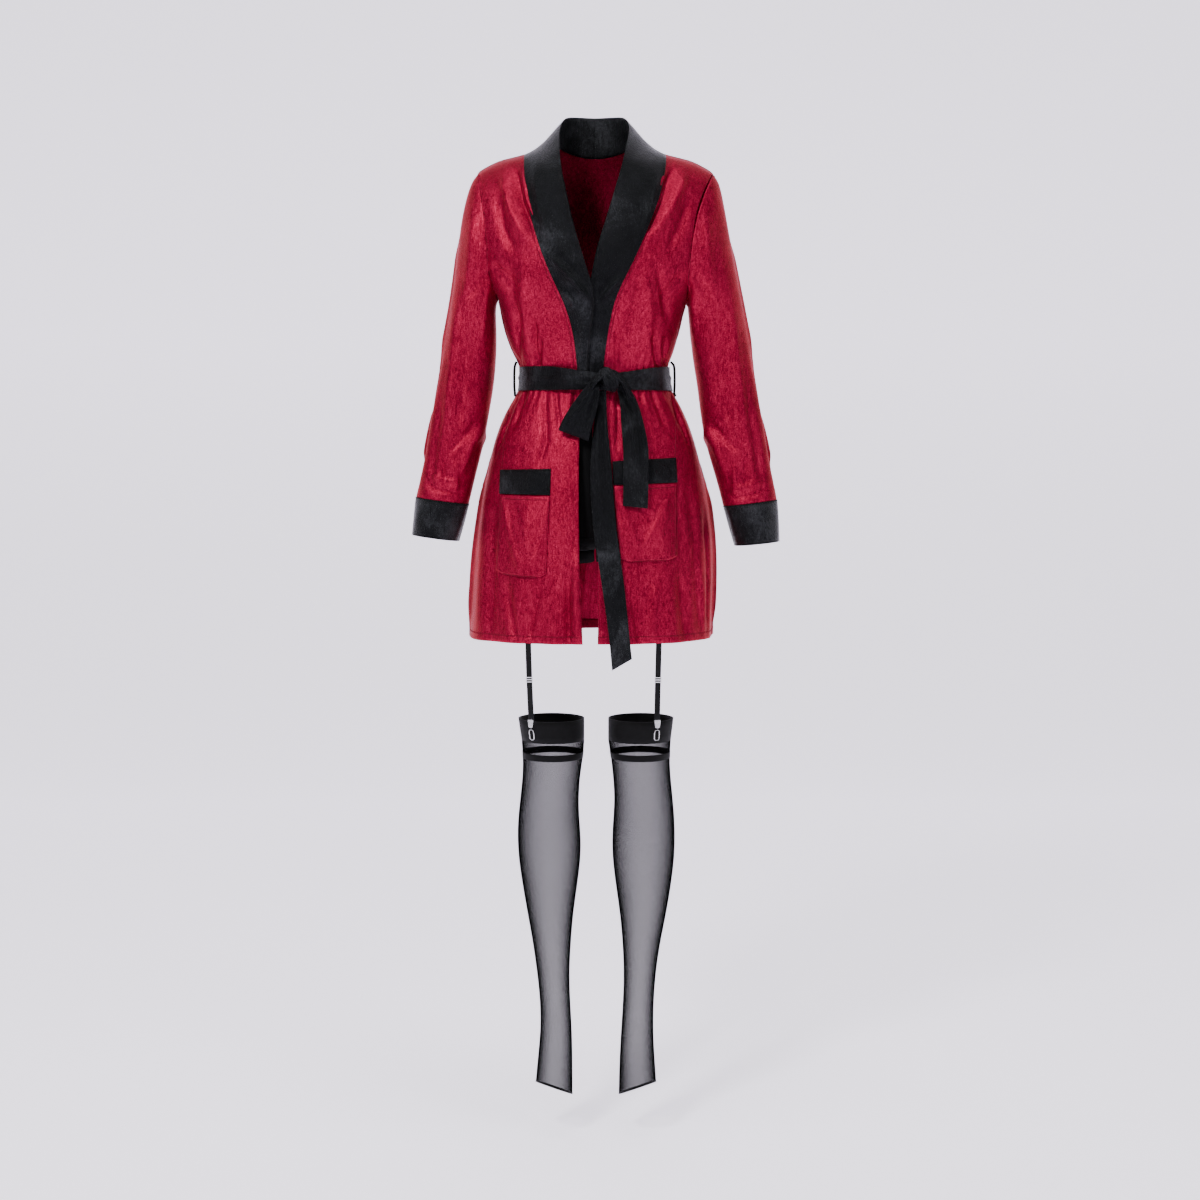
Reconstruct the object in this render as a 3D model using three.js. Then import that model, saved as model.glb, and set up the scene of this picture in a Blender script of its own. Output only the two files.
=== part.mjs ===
// A worn robe costume set: shawl-collar robe, tied sash, shorts, garter straps and stockings.
// Millimetres. X runs to the viewer's right, the front faces -Y and Z is up.
// The origin lies at the base of the neck, level with the shoulders.
// Right and left are the wearer's: right is -X and left is +X.
import * as THREE from 'three';
import { mergeVertices } from 'three/addons/utils/BufferGeometryUtils.js';

// Cloth walls and the gaps between neighbouring pieces.
const ROBE_WALL = 1.6;
const TRIM_WALL = 1.6;
const SASH_WALL = 2.0;
const SHORTS_WALL = 1.2;
const WELT_WALL = 1.6;
const STOCKING_WALL = 1.0;
const SEAM_GAP = 0.3;
const LAY_GAP = 0.5;

// Robe lengths and levels.
const HEM_Z = -733;
const ARMPIT_Z = { right: -226, left: -232 };
const NECK_HALF = 63.6;
const SHOULDER_ROUND = 105;
const SASH_TOP_Z = -325;
const SASH_BOTTOM_Z = -360;
const COLLAR_END_Z = -344;

// Half width of the robe body at each level, right and left side.
const BODY_WIDTH = [
  { z: -745, right: 192, left: 176 },
  { z: -700, right: 188, left: 177 },
  { z: -640, right: 185, left: 179.5 },
  { z: -611, right: 183, left: 179.5 },
  { z: -571, right: 178, left: 177 },
  { z: -538, right: 172, left: 173 },
  { z: -498, right: 166, left: 165.5 },
  { z: -470, right: 160.5, left: 158.5 },
  { z: -435, right: 152, left: 150 },
  { z: -401, right: 139, left: 137 },
  { z: -378, right: 126, left: 126 },
  { z: -360, right: 115, left: 115 },
  { z: -342, right: 112, left: 109 },
  { z: -325, right: 113, left: 109 },
  { z: -307, right: 124, left: 118 },
  { z: -284, right: 133, left: 124 },
  { z: -258, right: 140, left: 130 },
  { z: -229, right: 145, left: 137 },
  { z: -200, right: 166, left: 156 },
  { z: -168, right: 178, left: 167 },
  { z: -122, right: 189, left: 180 },
  { z: -90, right: 197, left: 189 },
  { z: -66, right: 205, left: 200 },
  { z: -38, right: 216, left: 216 },
  { z: 60, right: 230, left: 230 },
];

// Depth of the robe body in front of and behind the side seams at each level.
const BODY_DEPTH = [
  { z: -745, front: 140, back: 130 },
  { z: -690, front: 135, back: 126 },
  { z: -640, front: 130, back: 122 },
  { z: -560, front: 121, back: 116 },
  { z: -480, front: 109, back: 111 },
  { z: -440, front: 101, back: 105 },
  { z: -400, front: 92, back: 92 },
  { z: -360, front: 81, back: 79 },
  { z: -342, front: 79, back: 76 },
  { z: -324, front: 80, back: 77 },
  { z: -300, front: 87, back: 83 },
  { z: -270, front: 97, back: 91 },
  { z: -240, front: 105, back: 98 },
  { z: -205, front: 112, back: 104 },
  { z: -180, front: 114, back: 107 },
  { z: -150, front: 111, back: 108 },
  { z: -100, front: 101, back: 106 },
  { z: -50, front: 95, back: 100 },
  { z: 60, front: 90, back: 92 },
];
const BODY_POWER = 2.25;

// The skirt swings out behind the side seams: how far at the hem and round which depth.
const SIDE_SWING = { right: 3, left: 17, depth: 62, spread: 38, from: -520 };

// Height of the shoulder line at each distance from the centre.
const SHOULDER_LINE = [
  { x: 0, z: 20 },
  { x: 30, z: 15 },
  { x: 62, z: 8 },
  { x: 80, z: 2 },
  { x: 102, z: -6 },
  { x: 123, z: -11.5 },
  { x: 144, z: -17 },
  { x: 163, z: -26 },
  { x: 177, z: -35 },
  { x: 230, z: -80 },
];

// Distance of the armhole seam from the centre at each level.
const ARMHOLE = [
  { z: -232, right: 143, left: 137 },
  { z: -226, right: 145, left: 136.8 },
  { z: -186, right: 158.5, left: 139 },
  { z: -153, right: 160, left: 142 },
  { z: -122, right: 162, left: 147 },
  { z: -92, right: 166, left: 154 },
  { z: -66, right: 171, left: 164 },
  { z: -35, right: 176, left: 177 },
];

// Front edge of each front panel, as x at each level.
const FRONT_EDGE_RIGHT = [
  { z: -745, x: -18 },
  { z: -640, x: -21 },
  { z: -600, x: -23.5 },
  { z: -430, x: -23.5 },
  { z: -385, x: -19 },
  { z: -359, x: -14 },
  { z: -335, x: -12 },
  { z: -300, x: -11 },
  { z: -238, x: -3 },
  { z: -205, x: -7 },
  { z: -158, x: -23 },
  { z: -111, x: -36 },
  { z: -64, x: -46 },
  { z: -27, x: -54 },
  { z: -6, x: -57 },
  { z: 8, x: -63.6 },
];
const FRONT_EDGE_LEFT = [
  { z: -745, x: 4 },
  { z: -700, x: 5 },
  { z: -600, x: 5 },
  { z: -500, x: 2 },
  { z: -450, x: -3 },
  { z: -385, x: -5 },
  { z: -359, x: -9 },
  { z: -335, x: -15 },
  { z: -290, x: -16 },
  { z: -240, x: -12 },
  { z: -205, x: -5 },
  { z: -155, x: 5 },
  { z: -111, x: 20 },
  { z: -72, x: 31 },
  { z: -32, x: 43 },
  { z: -6, x: 52 },
  { z: 8, x: 63.6 },
];

// Free edge of the collar on the front of the body, as distance from the centre.
const COLLAR_FREE = [
  { z: -360, right: 25, left: 10 },
  { z: -334, right: 25.5, left: 11 },
  { z: -274, right: 32, left: 19 },
  { z: -240, right: 42, left: 26 },
  { z: -214, right: 54, left: 35 },
  { z: -183, right: 69, left: 51 },
  { z: -149, right: 82, left: 67 },
  { z: -107, right: 94, left: 84 },
  { z: -74, right: 100, left: 96 },
  { z: -45, right: 104, left: 102 },
  { z: -20, right: 103, left: 104 },
];

// Large soft folds in the skirt: where they sit round the body, how wide and how deep.
const SKIRT_FOLDS = {
  right: [
    { x: -178, width: 22, depth: 5 },
    { x: -150, width: 18, depth: -5 },
    { x: -118, width: 20, depth: 6 },
    { x: -88, width: 16, depth: -5 },
    { x: -56, width: 18, depth: 5 },
    { x: -34, width: 12, depth: -3 },
  ],
  left: [
    { x: 176, width: 20, depth: 5 },
    { x: 148, width: 18, depth: -5 },
    { x: 116, width: 20, depth: 6 },
    { x: 84, width: 16, depth: -5 },
    { x: 54, width: 18, depth: 5 },
    { x: 24, width: 14, depth: -3 },
  ],
  back: [
    { x: -160, width: 22, depth: 5 },
    { x: -122, width: 22, depth: -6 },
    { x: -78, width: 24, depth: 7 },
    { x: -36, width: 20, depth: -6 },
    { x: 4, width: 22, depth: 7 },
    { x: 44, width: 22, depth: -6 },
    { x: 88, width: 24, depth: 7 },
    { x: 130, width: 22, depth: -6 },
    { x: 164, width: 18, depth: 4 },
  ],
};

// Sleeve rings: outer and inner point as seen from the front, with half depth and middle.
const SLEEVE_RIGHT = [
  { xo: -186, zo: -46, xi: -149, zi: -232, half: 62, y: 0, own: 0.15 },
  { xo: -195, zo: -74, xi: -150, zi: -244, half: 60, y: 0, own: 0.45 },
  { xo: -202, zo: -107, xi: -149.5, zi: -258, half: 57, y: 0, own: 0.8 },
  { xo: -207, zo: -148, xi: -149, zi: -276, half: 54, y: 0, own: 1 },
  { xo: -213, zo: -200, xi: -149, zi: -300, half: 51, y: -1, own: 1 },
  { xo: -221, zo: -250, xi: -150.5, zi: -326, half: 49, y: -2, own: 1 },
  { xo: -230, zo: -295, xi: -153, zi: -352, half: 47, y: -3, own: 1 },
  { xo: -238, zo: -336, xi: -158, zi: -382, half: 45, y: -5, own: 1 },
  { xo: -245.5, zo: -375, xi: -163, zi: -410, half: 43, y: -7, own: 1 },
  { xo: -253, zo: -420, xi: -169, zi: -443, half: 42, y: -9, own: 1 },
  { xo: -259.5, zo: -460, xi: -177.5, zi: -475, half: 41, y: -11, own: 1 },
  { xo: -266, zo: -494, xi: -185, zi: -506, half: 40, y: -13, own: 1 },
  { xo: -271.5, zo: -520, xi: -191, zi: -531, half: 39.5, y: -14, own: 1 },
];
const SLEEVE_LEFT = [
  { xo: 187, zo: -46, xi: 141, zi: -238, half: 62, y: 0, own: 0.15 },
  { xo: 193, zo: -74, xi: 142.5, zi: -248, half: 60, y: 0, own: 0.45 },
  { xo: 199, zo: -107, xi: 143, zi: -260, half: 57, y: 0, own: 0.8 },
  { xo: 206.5, zo: -148, xi: 144, zi: -278, half: 54, y: 0, own: 1 },
  { xo: 216.5, zo: -200, xi: 146, zi: -302, half: 51, y: -1, own: 1 },
  { xo: 226, zo: -250, xi: 149.5, zi: -326, half: 49, y: -2, own: 1 },
  { xo: 235, zo: -296, xi: 154, zi: -352, half: 47, y: -3, own: 1 },
  { xo: 243, zo: -338, xi: 157.5, zi: -382, half: 45, y: -5, own: 1 },
  { xo: 250, zo: -376, xi: 161.5, zi: -412, half: 43, y: -7, own: 1 },
  { xo: 258, zo: -420, xi: 168, zi: -444, half: 42, y: -9, own: 1 },
  { xo: 264.5, zo: -460, xi: 177, zi: -474, half: 41, y: -11, own: 1 },
  { xo: 271, zo: -496, xi: 187, zi: -507, half: 40, y: -13, own: 1 },
  { xo: 275.5, zo: -524, xi: 193.5, zi: -534, half: 39.5, y: -14, own: 1 },
];

// Cuff rings.
const CUFF_RIGHT = [
  { xo: -272.5, zo: -521, xi: -190.5, zi: -532, half: 40, y: -14 },
  { xo: -276, zo: -550, xi: -198, zi: -560, half: 39, y: -15 },
  { xo: -278.5, zo: -577, xi: -206, zi: -587, half: 38, y: -16 },
];
const CUFF_LEFT = [
  { xo: 276.5, zo: -525, xi: 193.5, zi: -535, half: 40, y: -14 },
  { xo: 279, zo: -556, xi: 202, zi: -566, half: 39, y: -15 },
  { xo: 280, zo: -587, xi: 211, zi: -594, half: 38, y: -16 },
];

// Patch pockets: corners of the bag and band, as x and z on the front of the robe.
const POCKET_RIGHT = {
  band: { top: [-140, -479, -65, -477], bottom: [-141, -514, -66, -515] },
  bag: { top: [-139.5, -516, -66, -517], bottom: [-147, -632, -71, -637] },
};
const POCKET_LEFT = {
  band: { top: [26, -466, 119, -461], bottom: [27, -500, 121, -497] },
  bag: { top: [27.5, -502, 120.5, -499], bottom: [38, -613, 120, -611] },
};

// Stocking rings: distance of the inner and outer side from the centre, middle and half depth.
// The last rings tilt: how far the inner side and the front lie above the ring's level.
const STOCKING_RIGHT = [
  { z: -860, inner: 16, outer: 119, y: 4, half: 57, inside: 0, front: 0 },
  { z: -893.2, inner: 16, outer: 114, y: 4, half: 55, inside: 0, front: 0 },
  { z: -919, inner: 17.5, outer: 112, y: 3, half: 53, inside: 0, front: 0 },
  { z: -947, inner: 22.5, outer: 112, y: 2, half: 51, inside: 0, front: 0 },
  { z: -983, inner: 25, outer: 116, y: 2, half: 52, inside: 0, front: 0 },
  { z: -1017, inner: 24, outer: 120, y: 5, half: 54, inside: 0, front: 0 },
  { z: -1049, inner: 21, outer: 121, y: 9, half: 56, inside: 0, front: 0 },
  { z: -1085, inner: 22, outer: 119, y: 12, half: 56, inside: 0, front: 0 },
  { z: -1135, inner: 29, outer: 111, y: 13, half: 51, inside: 0, front: 0 },
  { z: -1169, inner: 34, outer: 105, y: 12, half: 46, inside: 0, front: 0 },
  { z: -1212, inner: 37.5, outer: 97, y: 10, half: 40, inside: 0, front: 0 },
  { z: -1255, inner: 40, outer: 91, y: 8, half: 35, inside: 0, front: 0 },
  { z: -1300, inner: 39, outer: 86, y: 6, half: 33, inside: 0, front: 0 },
  { z: -1345, inner: 36, outer: 85, y: 4, half: 33, inside: 0, front: 0 },
  { z: -1390, inner: 35, outer: 89, y: 0, half: 36, inside: -5, front: 7 },
  { z: -1438, inner: 35, outer: 93, y: -4, half: 41, inside: -10, front: 14 },
];
const STOCKING_LEFT = [
  { z: -860, inner: 19, outer: 121, y: 4, half: 57, inside: 0, front: 0 },
  { z: -893.2, inner: 19, outer: 117, y: 4, half: 55, inside: 0, front: 0 },
  { z: -919, inner: 23, outer: 115, y: 3, half: 53, inside: 0, front: 0 },
  { z: -947, inner: 26.5, outer: 116, y: 2, half: 51, inside: 0, front: 0 },
  { z: -983, inner: 29, outer: 120, y: 2, half: 52, inside: 0, front: 0 },
  { z: -1017, inner: 27, outer: 123, y: 5, half: 54, inside: 0, front: 0 },
  { z: -1049, inner: 25, outer: 124, y: 9, half: 56, inside: 0, front: 0 },
  { z: -1085, inner: 26, outer: 123, y: 12, half: 56, inside: 0, front: 0 },
  { z: -1135, inner: 33, outer: 116, y: 13, half: 51, inside: 0, front: 0 },
  { z: -1169, inner: 38, outer: 110, y: 12, half: 46, inside: 0, front: 0 },
  { z: -1212, inner: 42, outer: 101, y: 10, half: 40, inside: 0, front: 0 },
  { z: -1255, inner: 44, outer: 94.5, y: 8, half: 35, inside: 0, front: 0 },
  { z: -1300, inner: 43, outer: 91, y: 6, half: 33, inside: 0, front: 0 },
  { z: -1345, inner: 40, outer: 90, y: 4, half: 33, inside: 0, front: 0 },
  { z: -1390, inner: 37, outer: 92, y: 0, half: 36, inside: -5, front: 7 },
  { z: -1438, inner: 36, outer: 95, y: -4, half: 41, inside: -10, front: 14 },
];

// Shorts: half width and depth in front and behind at each level, and how far the leg closes.
const SHORTS = [
  { z: -344, half: 105.5, front: 75.5, back: 72.5, close: 0 },
  { z: -378, half: 117, front: 80, back: 82, close: 0 },
  { z: -420, half: 135, front: 87, back: 95, close: 0 },
  { z: -470, half: 149, front: 90, back: 104, close: 0 },
  { z: -520, half: 155, front: 89, back: 104, close: 0 },
  { z: -556, half: 155, front: 88, back: 101, close: 0 },
  { z: -574, half: 154.5, front: 87.5, back: 99, close: 0.16 },
  { z: -588, half: 154, front: 87, back: 97, close: 0.42 },
  { z: -597, half: 154, front: 87, back: 96, close: 0.75 },
  { z: -602, half: 154, front: 87, back: 95.5, close: 1 },
  { z: -619, half: 155.5, front: 88, back: 96, close: 1 },
];
const SHORTS_COLUMNS = 18;

// Garter straps: middle line as x, y and z, from the shorts' hem down to the clip.
const STRAP_RIGHT = {
  upper: [[-101.8, -606], [-101.6, -640], [-101.2, -700], [-100.4, -750], [-99.3, -794.3]],
  lower: [[-99.3, -794.7], [-98, -830], [-96.9, -856.4]],
  clip: -96.8,
};
const STRAP_LEFT = {
  upper: [[98, -606], [97.2, -640], [96.2, -700], [95.4, -750], [94.6, -794.3]],
  lower: [[94.6, -794.7], [94, -830], [93.6, -856.4]],
  clip: 93.5,
};
const STRAP_WIDTH = 8.2;
const STRAP_THICK = 1.4;

const MATERIALS = {
  velour: { color: 0xa3183c, roughness: 0.7, metalness: 0 },
  blackVelour: { color: 0x17171a, roughness: 0.75, metalness: 0 },
  jersey: { color: 0x141416, roughness: 0.85, metalness: 0 },
  elastic: { color: 0x18181a, roughness: 0.7, metalness: 0 },
  metal: { color: 0xc4c6ca, roughness: 0.3, metalness: 1 },
  rubber: { color: 0x1d1d20, roughness: 0.6, metalness: 0 },
  knit: { color: 0x202024, roughness: 0.8, metalness: 0 },
  sheer: { color: 0x38383d, roughness: 0.7, metalness: 0 },
};

const clamp = (v, lo, hi) => Math.min(hi, Math.max(lo, v));
const mix = (a, b, t) => a + (b - a) * t;
const smooth = (t) => {
  const c = clamp(t, 0, 1);
  return c * c * (3 - 2 * c);
};

// Value of a named column of a table at a key, with a soft curve between its rows.
function look(table, key, at, column) {
  const rows = table.length;
  const up = table[rows - 1][key] > table[0][key];
  let i = 0;
  while (i < rows - 2 && (up ? table[i + 1][key] < at : table[i + 1][key] > at)) {
    i += 1;
  }
  const a = table[i];
  const b = table[i + 1];
  const before = table[Math.max(i - 1, 0)];
  const after = table[Math.min(i + 2, rows - 1)];
  const span = b[key] - a[key];
  const t = clamp((at - a[key]) / span, 0, 1);
  const slopeA = ((b[column] - before[column]) / (b[key] - before[key] || 1)) * span;
  const slopeB = ((after[column] - a[column]) / (after[key] - a[key] || 1)) * span;
  const t2 = t * t;
  const t3 = t2 * t;
  const start = (2 * t3 - 3 * t2 + 1) * a[column] + (t3 - 2 * t2 + t) * slopeA;
  return start + (3 * t2 - 2 * t3) * b[column] + (t3 - t2) * slopeB;
}

const sideOf = (x) => (x < 0 ? 'right' : 'left');

// How far the folds push the robe out at a point, growing from the sash to the hem.
function foldAt(x, z, face) {
  if (z > SASH_BOTTOM_Z) {
    return 0;
  }
  const grow = smooth((SASH_BOTTOM_Z - z) / 330) * 1.0;
  const list = face === 'back' ? SKIRT_FOLDS.back : SKIRT_FOLDS[sideOf(x)];
  let sum = 0;
  for (const fold of list) {
    const place = fold.x * mix(0.62, 1, clamp((SASH_BOTTOM_Z - z) / 370, 0, 1));
    const u = (x - place) / fold.width;
    sum += fold.depth * Math.exp(-u * u);
  }
  return sum * grow;
}

// Depth of the robe's outer face at x and z, on its front (-Y) or back (+Y).
function bodyY(x, z, face) {
  const half = look(BODY_WIDTH, 'z', z, sideOf(x));
  const depth = look(BODY_DEPTH, 'z', z, face);
  const ratio = clamp(Math.abs(x) / half, 0, 1);
  const round = (1 - ratio ** BODY_POWER) ** (1 / BODY_POWER);
  const drop = look(SHOULDER_LINE, 'x', Math.abs(x), 'z') - z;
  const s = clamp(drop / SHOULDER_ROUND, 0, 1);
  const shoulder = Math.sqrt(1 - (1 - s) * (1 - s));
  const y = depth * round * shoulder + foldAt(x, z, face) * smooth(round * 2.2);
  return face === 'front' ? -y : y;
}

// The right front is lifted where it laps over the left one and its collar.
function lapLift(x, z) {
  const along = smooth((-170 - z) / 40) * smooth((z + 372) / 14);
  return 5.2 * along * smooth((x + 62) / 40);
}

function frontY(x, z, side) {
  return bodyY(x, z, 'front') - (side === 'right' ? lapLift(x, z) : 0);
}

function frontPoint(x, z, side, out) {
  const e = 0.5;
  const dx = (frontY(x + e, z, side) - frontY(x - e, z, side)) / (2 * e);
  const dz = (frontY(x, z + e, side) - frontY(x, z - e, side)) / (2 * e);
  const n = new THREE.Vector3(dx, -1, dz).normalize();
  return new THREE.Vector3(x, frontY(x, z, side), z).addScaledVector(n, out);
}

// Normals of a grid of points, which point away from the side given by flip.
function gridNormals(grid, closed, flip) {
  const rows = grid.length;
  const cols = grid[0].length;
  return grid.map((row, r) => row.map((_, c) => {
    const up = grid[Math.min(r + 1, rows - 1)][c];
    const down = grid[Math.max(r - 1, 0)][c];
    const next = closed ? row[(c + 1) % cols] : row[Math.min(c + 1, cols - 1)];
    const last = closed ? row[(c + cols - 1) % cols] : row[Math.max(c - 1, 0)];
    const across = new THREE.Vector3().subVectors(next, last);
    const along = new THREE.Vector3().subVectors(up, down);
    return across.cross(along).normalize().multiplyScalar(flip ? -1 : 1);
  }));
}

// A closed cloth wall between a grid of outer points and the same points moved in.
function wall(grid, thickness, options = {}) {
  const { closed = false, flip = false, fix = null } = options;
  const rows = grid.length;
  const cols = grid[0].length;
  const normals = gridNormals(grid, closed, flip);
  if (fix) {
    fix(normals, grid);
  }
  const positions = [];
  for (const layer of [0, 1]) {
    grid.forEach((row, r) => row.forEach((p, c) => {
      const q = p.clone().addScaledVector(normals[r][c], -thickness * layer);
      positions.push(q.x, q.y, q.z);
    }));
  }
  const at = (layer, r, c) => layer * rows * cols + r * cols + (c % cols);
  const index = [];
  const quad = (a, b, c, d) => {
    if (flip) {
      index.push(a, c, b, a, d, c);
    } else {
      index.push(a, b, c, a, c, d);
    }
  };
  const spans = closed ? cols : cols - 1;
  for (let r = 0; r < rows - 1; r += 1) {
    for (let c = 0; c < spans; c += 1) {
      quad(at(0, r, c), at(0, r, c + 1), at(0, r + 1, c + 1), at(0, r + 1, c));
      quad(at(1, r, c), at(1, r + 1, c), at(1, r + 1, c + 1), at(1, r, c + 1));
    }
  }
  for (let c = 0; c < spans; c += 1) {
    quad(at(1, 0, c), at(1, 0, c + 1), at(0, 0, c + 1), at(0, 0, c));
    quad(at(0, rows - 1, c), at(0, rows - 1, c + 1), at(1, rows - 1, c + 1), at(1, rows - 1, c));
  }
  if (!closed) {
    for (let r = 0; r < rows - 1; r += 1) {
      quad(at(0, r, 0), at(0, r + 1, 0), at(1, r + 1, 0), at(1, r, 0));
      quad(at(1, r, cols - 1), at(1, r + 1, cols - 1), at(0, r + 1, cols - 1), at(0, r, cols - 1));
    }
  }
  const geometry = new THREE.BufferGeometry();
  geometry.setAttribute('position', new THREE.Float32BufferAttribute(positions, 3));
  geometry.setIndex(index);
  return geometry;
}

// A solid bar: a closed outline at each station of a path, capped at both ends.
function bar(stations, closedPath = false) {
  const sides = stations[0].length;
  const positions = [];
  stations.forEach((ring) => ring.forEach((p) => positions.push(p.x, p.y, p.z)));
  const index = [];
  const count = stations.length;
  const spans = closedPath ? count : count - 1;
  for (let s = 0; s < spans; s += 1) {
    const a = s * sides;
    const b = ((s + 1) % count) * sides;
    for (let k = 0; k < sides; k += 1) {
      const k2 = (k + 1) % sides;
      index.push(a + k, a + k2, b + k2, a + k, b + k2, b + k);
    }
  }
  if (!closedPath) {
    const last = (count - 1) * sides;
    for (let k = 1; k < sides - 1; k += 1) {
      index.push(0, k + 1, k);
      index.push(last, last + k, last + k + 1);
    }
  }
  const geometry = new THREE.BufferGeometry();
  geometry.setAttribute('position', new THREE.Float32BufferAttribute(positions, 3));
  geometry.setIndex(index);
  return geometry;
}

const group = new THREE.Group();
group.name = 'robe_costume_set';

// Turns every triangle round when the closed body would face inwards.
function faceOut(geometry) {
  const p = geometry.getAttribute('position');
  const index = geometry.getIndex();
  const at = (i) => new THREE.Vector3().fromBufferAttribute(p, index.getX(i));
  let volume = 0;
  for (let i = 0; i < index.count; i += 3) {
    volume += at(i).dot(at(i + 1).cross(at(i + 2)));
  }
  if (volume < 0) {
    for (let i = 0; i < index.count; i += 3) {
      const b = index.getX(i + 1);
      index.setX(i + 1, index.getX(i + 2));
      index.setX(i + 2, b);
    }
  }
  return geometry;
}

function addMesh(name, geometry, material) {
  const kept = mergeVertices(faceOut(geometry), 1e-4);
  kept.computeVertexNormals();
  const mesh = new THREE.Mesh(kept, new THREE.MeshStandardMaterial(MATERIALS[material]));
  mesh.name = name;
  group.add(mesh);
}

// Robe panels. Columns run from the side to the front edge or across the back; rows run up.
const SKIRT_ROWS = [-733, -700, -655, -605, -555, -505, -460, -425, -395, -375, -361, -343, -325];
const CHEST_ROWS = [-308, -280, -252];
const RING_SIDES = 20;
const HALF_RING = RING_SIDES / 2;
const halfTurns = [...Array(HALF_RING + 1).keys()].map((k) => (k / HALF_RING) * Math.PI);
const SHOULDER_STEPS = halfTurns.map((turn) => (1 - Math.cos(turn)) / 2);

// Levels of one panel column: even rows below the armpit, then steps up to its top.
function columnLevels(armpit, top) {
  const upper = SHOULDER_STEPS.map((t) => mix(armpit, top, t));
  return [...SKIRT_ROWS, ...CHEST_ROWS, ...upper];
}

function sideX(z, side) {
  if (z < ARMPIT_Z[side] - 0.01) {
    return look(BODY_WIDTH, 'z', z, side);
  }
  return look(ARMHOLE, 'z', z, side);
}

const FRONT_COLUMNS = 15;

function frontPanel(side) {
  const sign = side === 'right' ? -1 : 1;
  const edge = side === 'right' ? FRONT_EDGE_RIGHT : FRONT_EDGE_LEFT;
  const levels = columnLevels(ARMPIT_Z[side], 0);
  const grid = levels.map((level, r) => {
    const row = [];
    const step = r - (levels.length - SHOULDER_STEPS.length);
    for (let c = 0; c <= FRONT_COLUMNS; c += 1) {
      const u = c / FRONT_COLUMNS;
      if (step <= 0) {
        const outer = sideX(level, side);
        const inner = sign * look(edge, 'z', level, 'x');
        const turn = Math.asin(clamp((inner / outer), -1, 1));
        const angle = mix(Math.PI / 2, turn, u ** 1.15);
        const x = c === FRONT_COLUMNS ? inner : outer * Math.sin(angle);
        row.push(new THREE.Vector3(sign * x, frontY(sign * x, level, side), level));
        continue;
      }
      const t = SHOULDER_STEPS[step];
      const zOuter = mix(ARMPIT_Z[side], -35, t);
      const zInner = mix(ARMPIT_Z[side], 8, t);
      const xOuter = look(ARMHOLE, 'z', zOuter, side);
      const xInner = sign * look(edge, 'z', zInner, 'x');
      const bend = mix(1.15, 1, t);
      const outerTurn = mix(Math.PI / 2, 1.0, smooth(t * 3));
      const innerTurn = Math.asin(clamp((xInner / xOuter) * Math.sin(outerTurn), -1, 1));
      const angle = mix(outerTurn, innerTurn, u ** bend);
      const x = c === 0 ? xOuter : (xOuter * Math.sin(angle)) / Math.sin(outerTurn);
      const topZ = look(SHOULDER_LINE, 'x', x, 'z');
      const lean = (x - xInner) / (xOuter - xInner);
      const z = Math.min(topZ, mix(zInner, zOuter, lean) + (topZ - mix(8, -35, lean)) * t);
      const zz = t === 1 ? topZ : z;
      row.push(new THREE.Vector3(sign * x, frontY(sign * x, zz, side), zz));
    }
    return row;
  });
  return grid;
}

const BACK_COLUMNS = 26;

function sideSwing(x, y, z) {
  const grow = smooth((SIDE_SWING.from - z) / 200);
  const near = Math.exp(-(((y - SIDE_SWING.depth) / SIDE_SWING.spread) ** 2));
  const edge = smooth((Math.abs(x) - 90) / 70) * smooth(y / 30);
  return SIDE_SWING[sideOf(x)] * grow * near * edge * Math.sign(x);
}

function backPanel() {
  const levels = columnLevels(-229, 0);
  return levels.map((level, r) => {
    const row = [];
    const step = r - (levels.length - SHOULDER_STEPS.length);
    for (let c = 0; c <= BACK_COLUMNS; c += 1) {
      const u = (c / BACK_COLUMNS) * 2 - 1;
      const side = u < 0 ? 'right' : 'left';
      const sign = u < 0 ? -1 : 1;
      const turnEnd = step <= 0 ? Math.PI / 2 : mix(Math.PI / 2, 1.0, smooth(SHOULDER_STEPS[step] * 3));
      const lean = Math.sin(Math.abs(u) * turnEnd) / Math.sin(turnEnd);
      if (step <= 0) {
        const low = step === 0 ? ARMPIT_Z[side] : level;
        const z = step === 0 ? mix(-229, low, lean) : level;
        const x = sign * lean * sideX(z, side);
        const y = bodyY(x, z, 'back');
        row.push(new THREE.Vector3(x + sideSwing(x, y, z), y, z));
        continue;
      }
      const t = SHOULDER_STEPS[step];
      const zOuter = mix(ARMPIT_Z[side], -35, t);
      const x = lean * look(ARMHOLE, 'z', zOuter, side);
      const topZ = x < NECK_HALF + 0.6 ? -6 + 14 * (x / NECK_HALF) ** 2 : look(SHOULDER_LINE, 'x', x, 'z');
      const z = mix(mix(-229, ARMPIT_Z[side], lean), topZ, t);
      const zz = c === 0 || c === BACK_COLUMNS ? zOuter : z;
      row.push(new THREE.Vector3(sign * x, bodyY(sign * x, zz, 'back'), zz));
    }
    return row;
  });
}

// The rim at a seam lies in the seam's own plane, half a gap away from it.
function seamFix(normals, grid, face, closedColumns, shoulderColumn) {
  const shift = face === 'front' ? -SEAM_GAP / 2 : SEAM_GAP / 2;
  const low = SKIRT_ROWS.length + CHEST_ROWS.length;
  const flatten = (r, c) => {
    normals[r][c].y = 0;
    normals[r][c].normalize();
    grid[r][c].y = shift * (r === low ? 2.5 : 1);
  };
  closedColumns.forEach((c) => {
    for (let r = 0; r <= low; r += 1) {
      flatten(r, c);
    }
  });
  const top = grid.length - 1;
  grid[top].forEach((p, c) => {
    if (shoulderColumn(p)) {
      flatten(top, c);
    }
  });
}

const frontGrids = { right: frontPanel('right'), left: frontPanel('left') };
const backGrid = backPanel();

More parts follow.
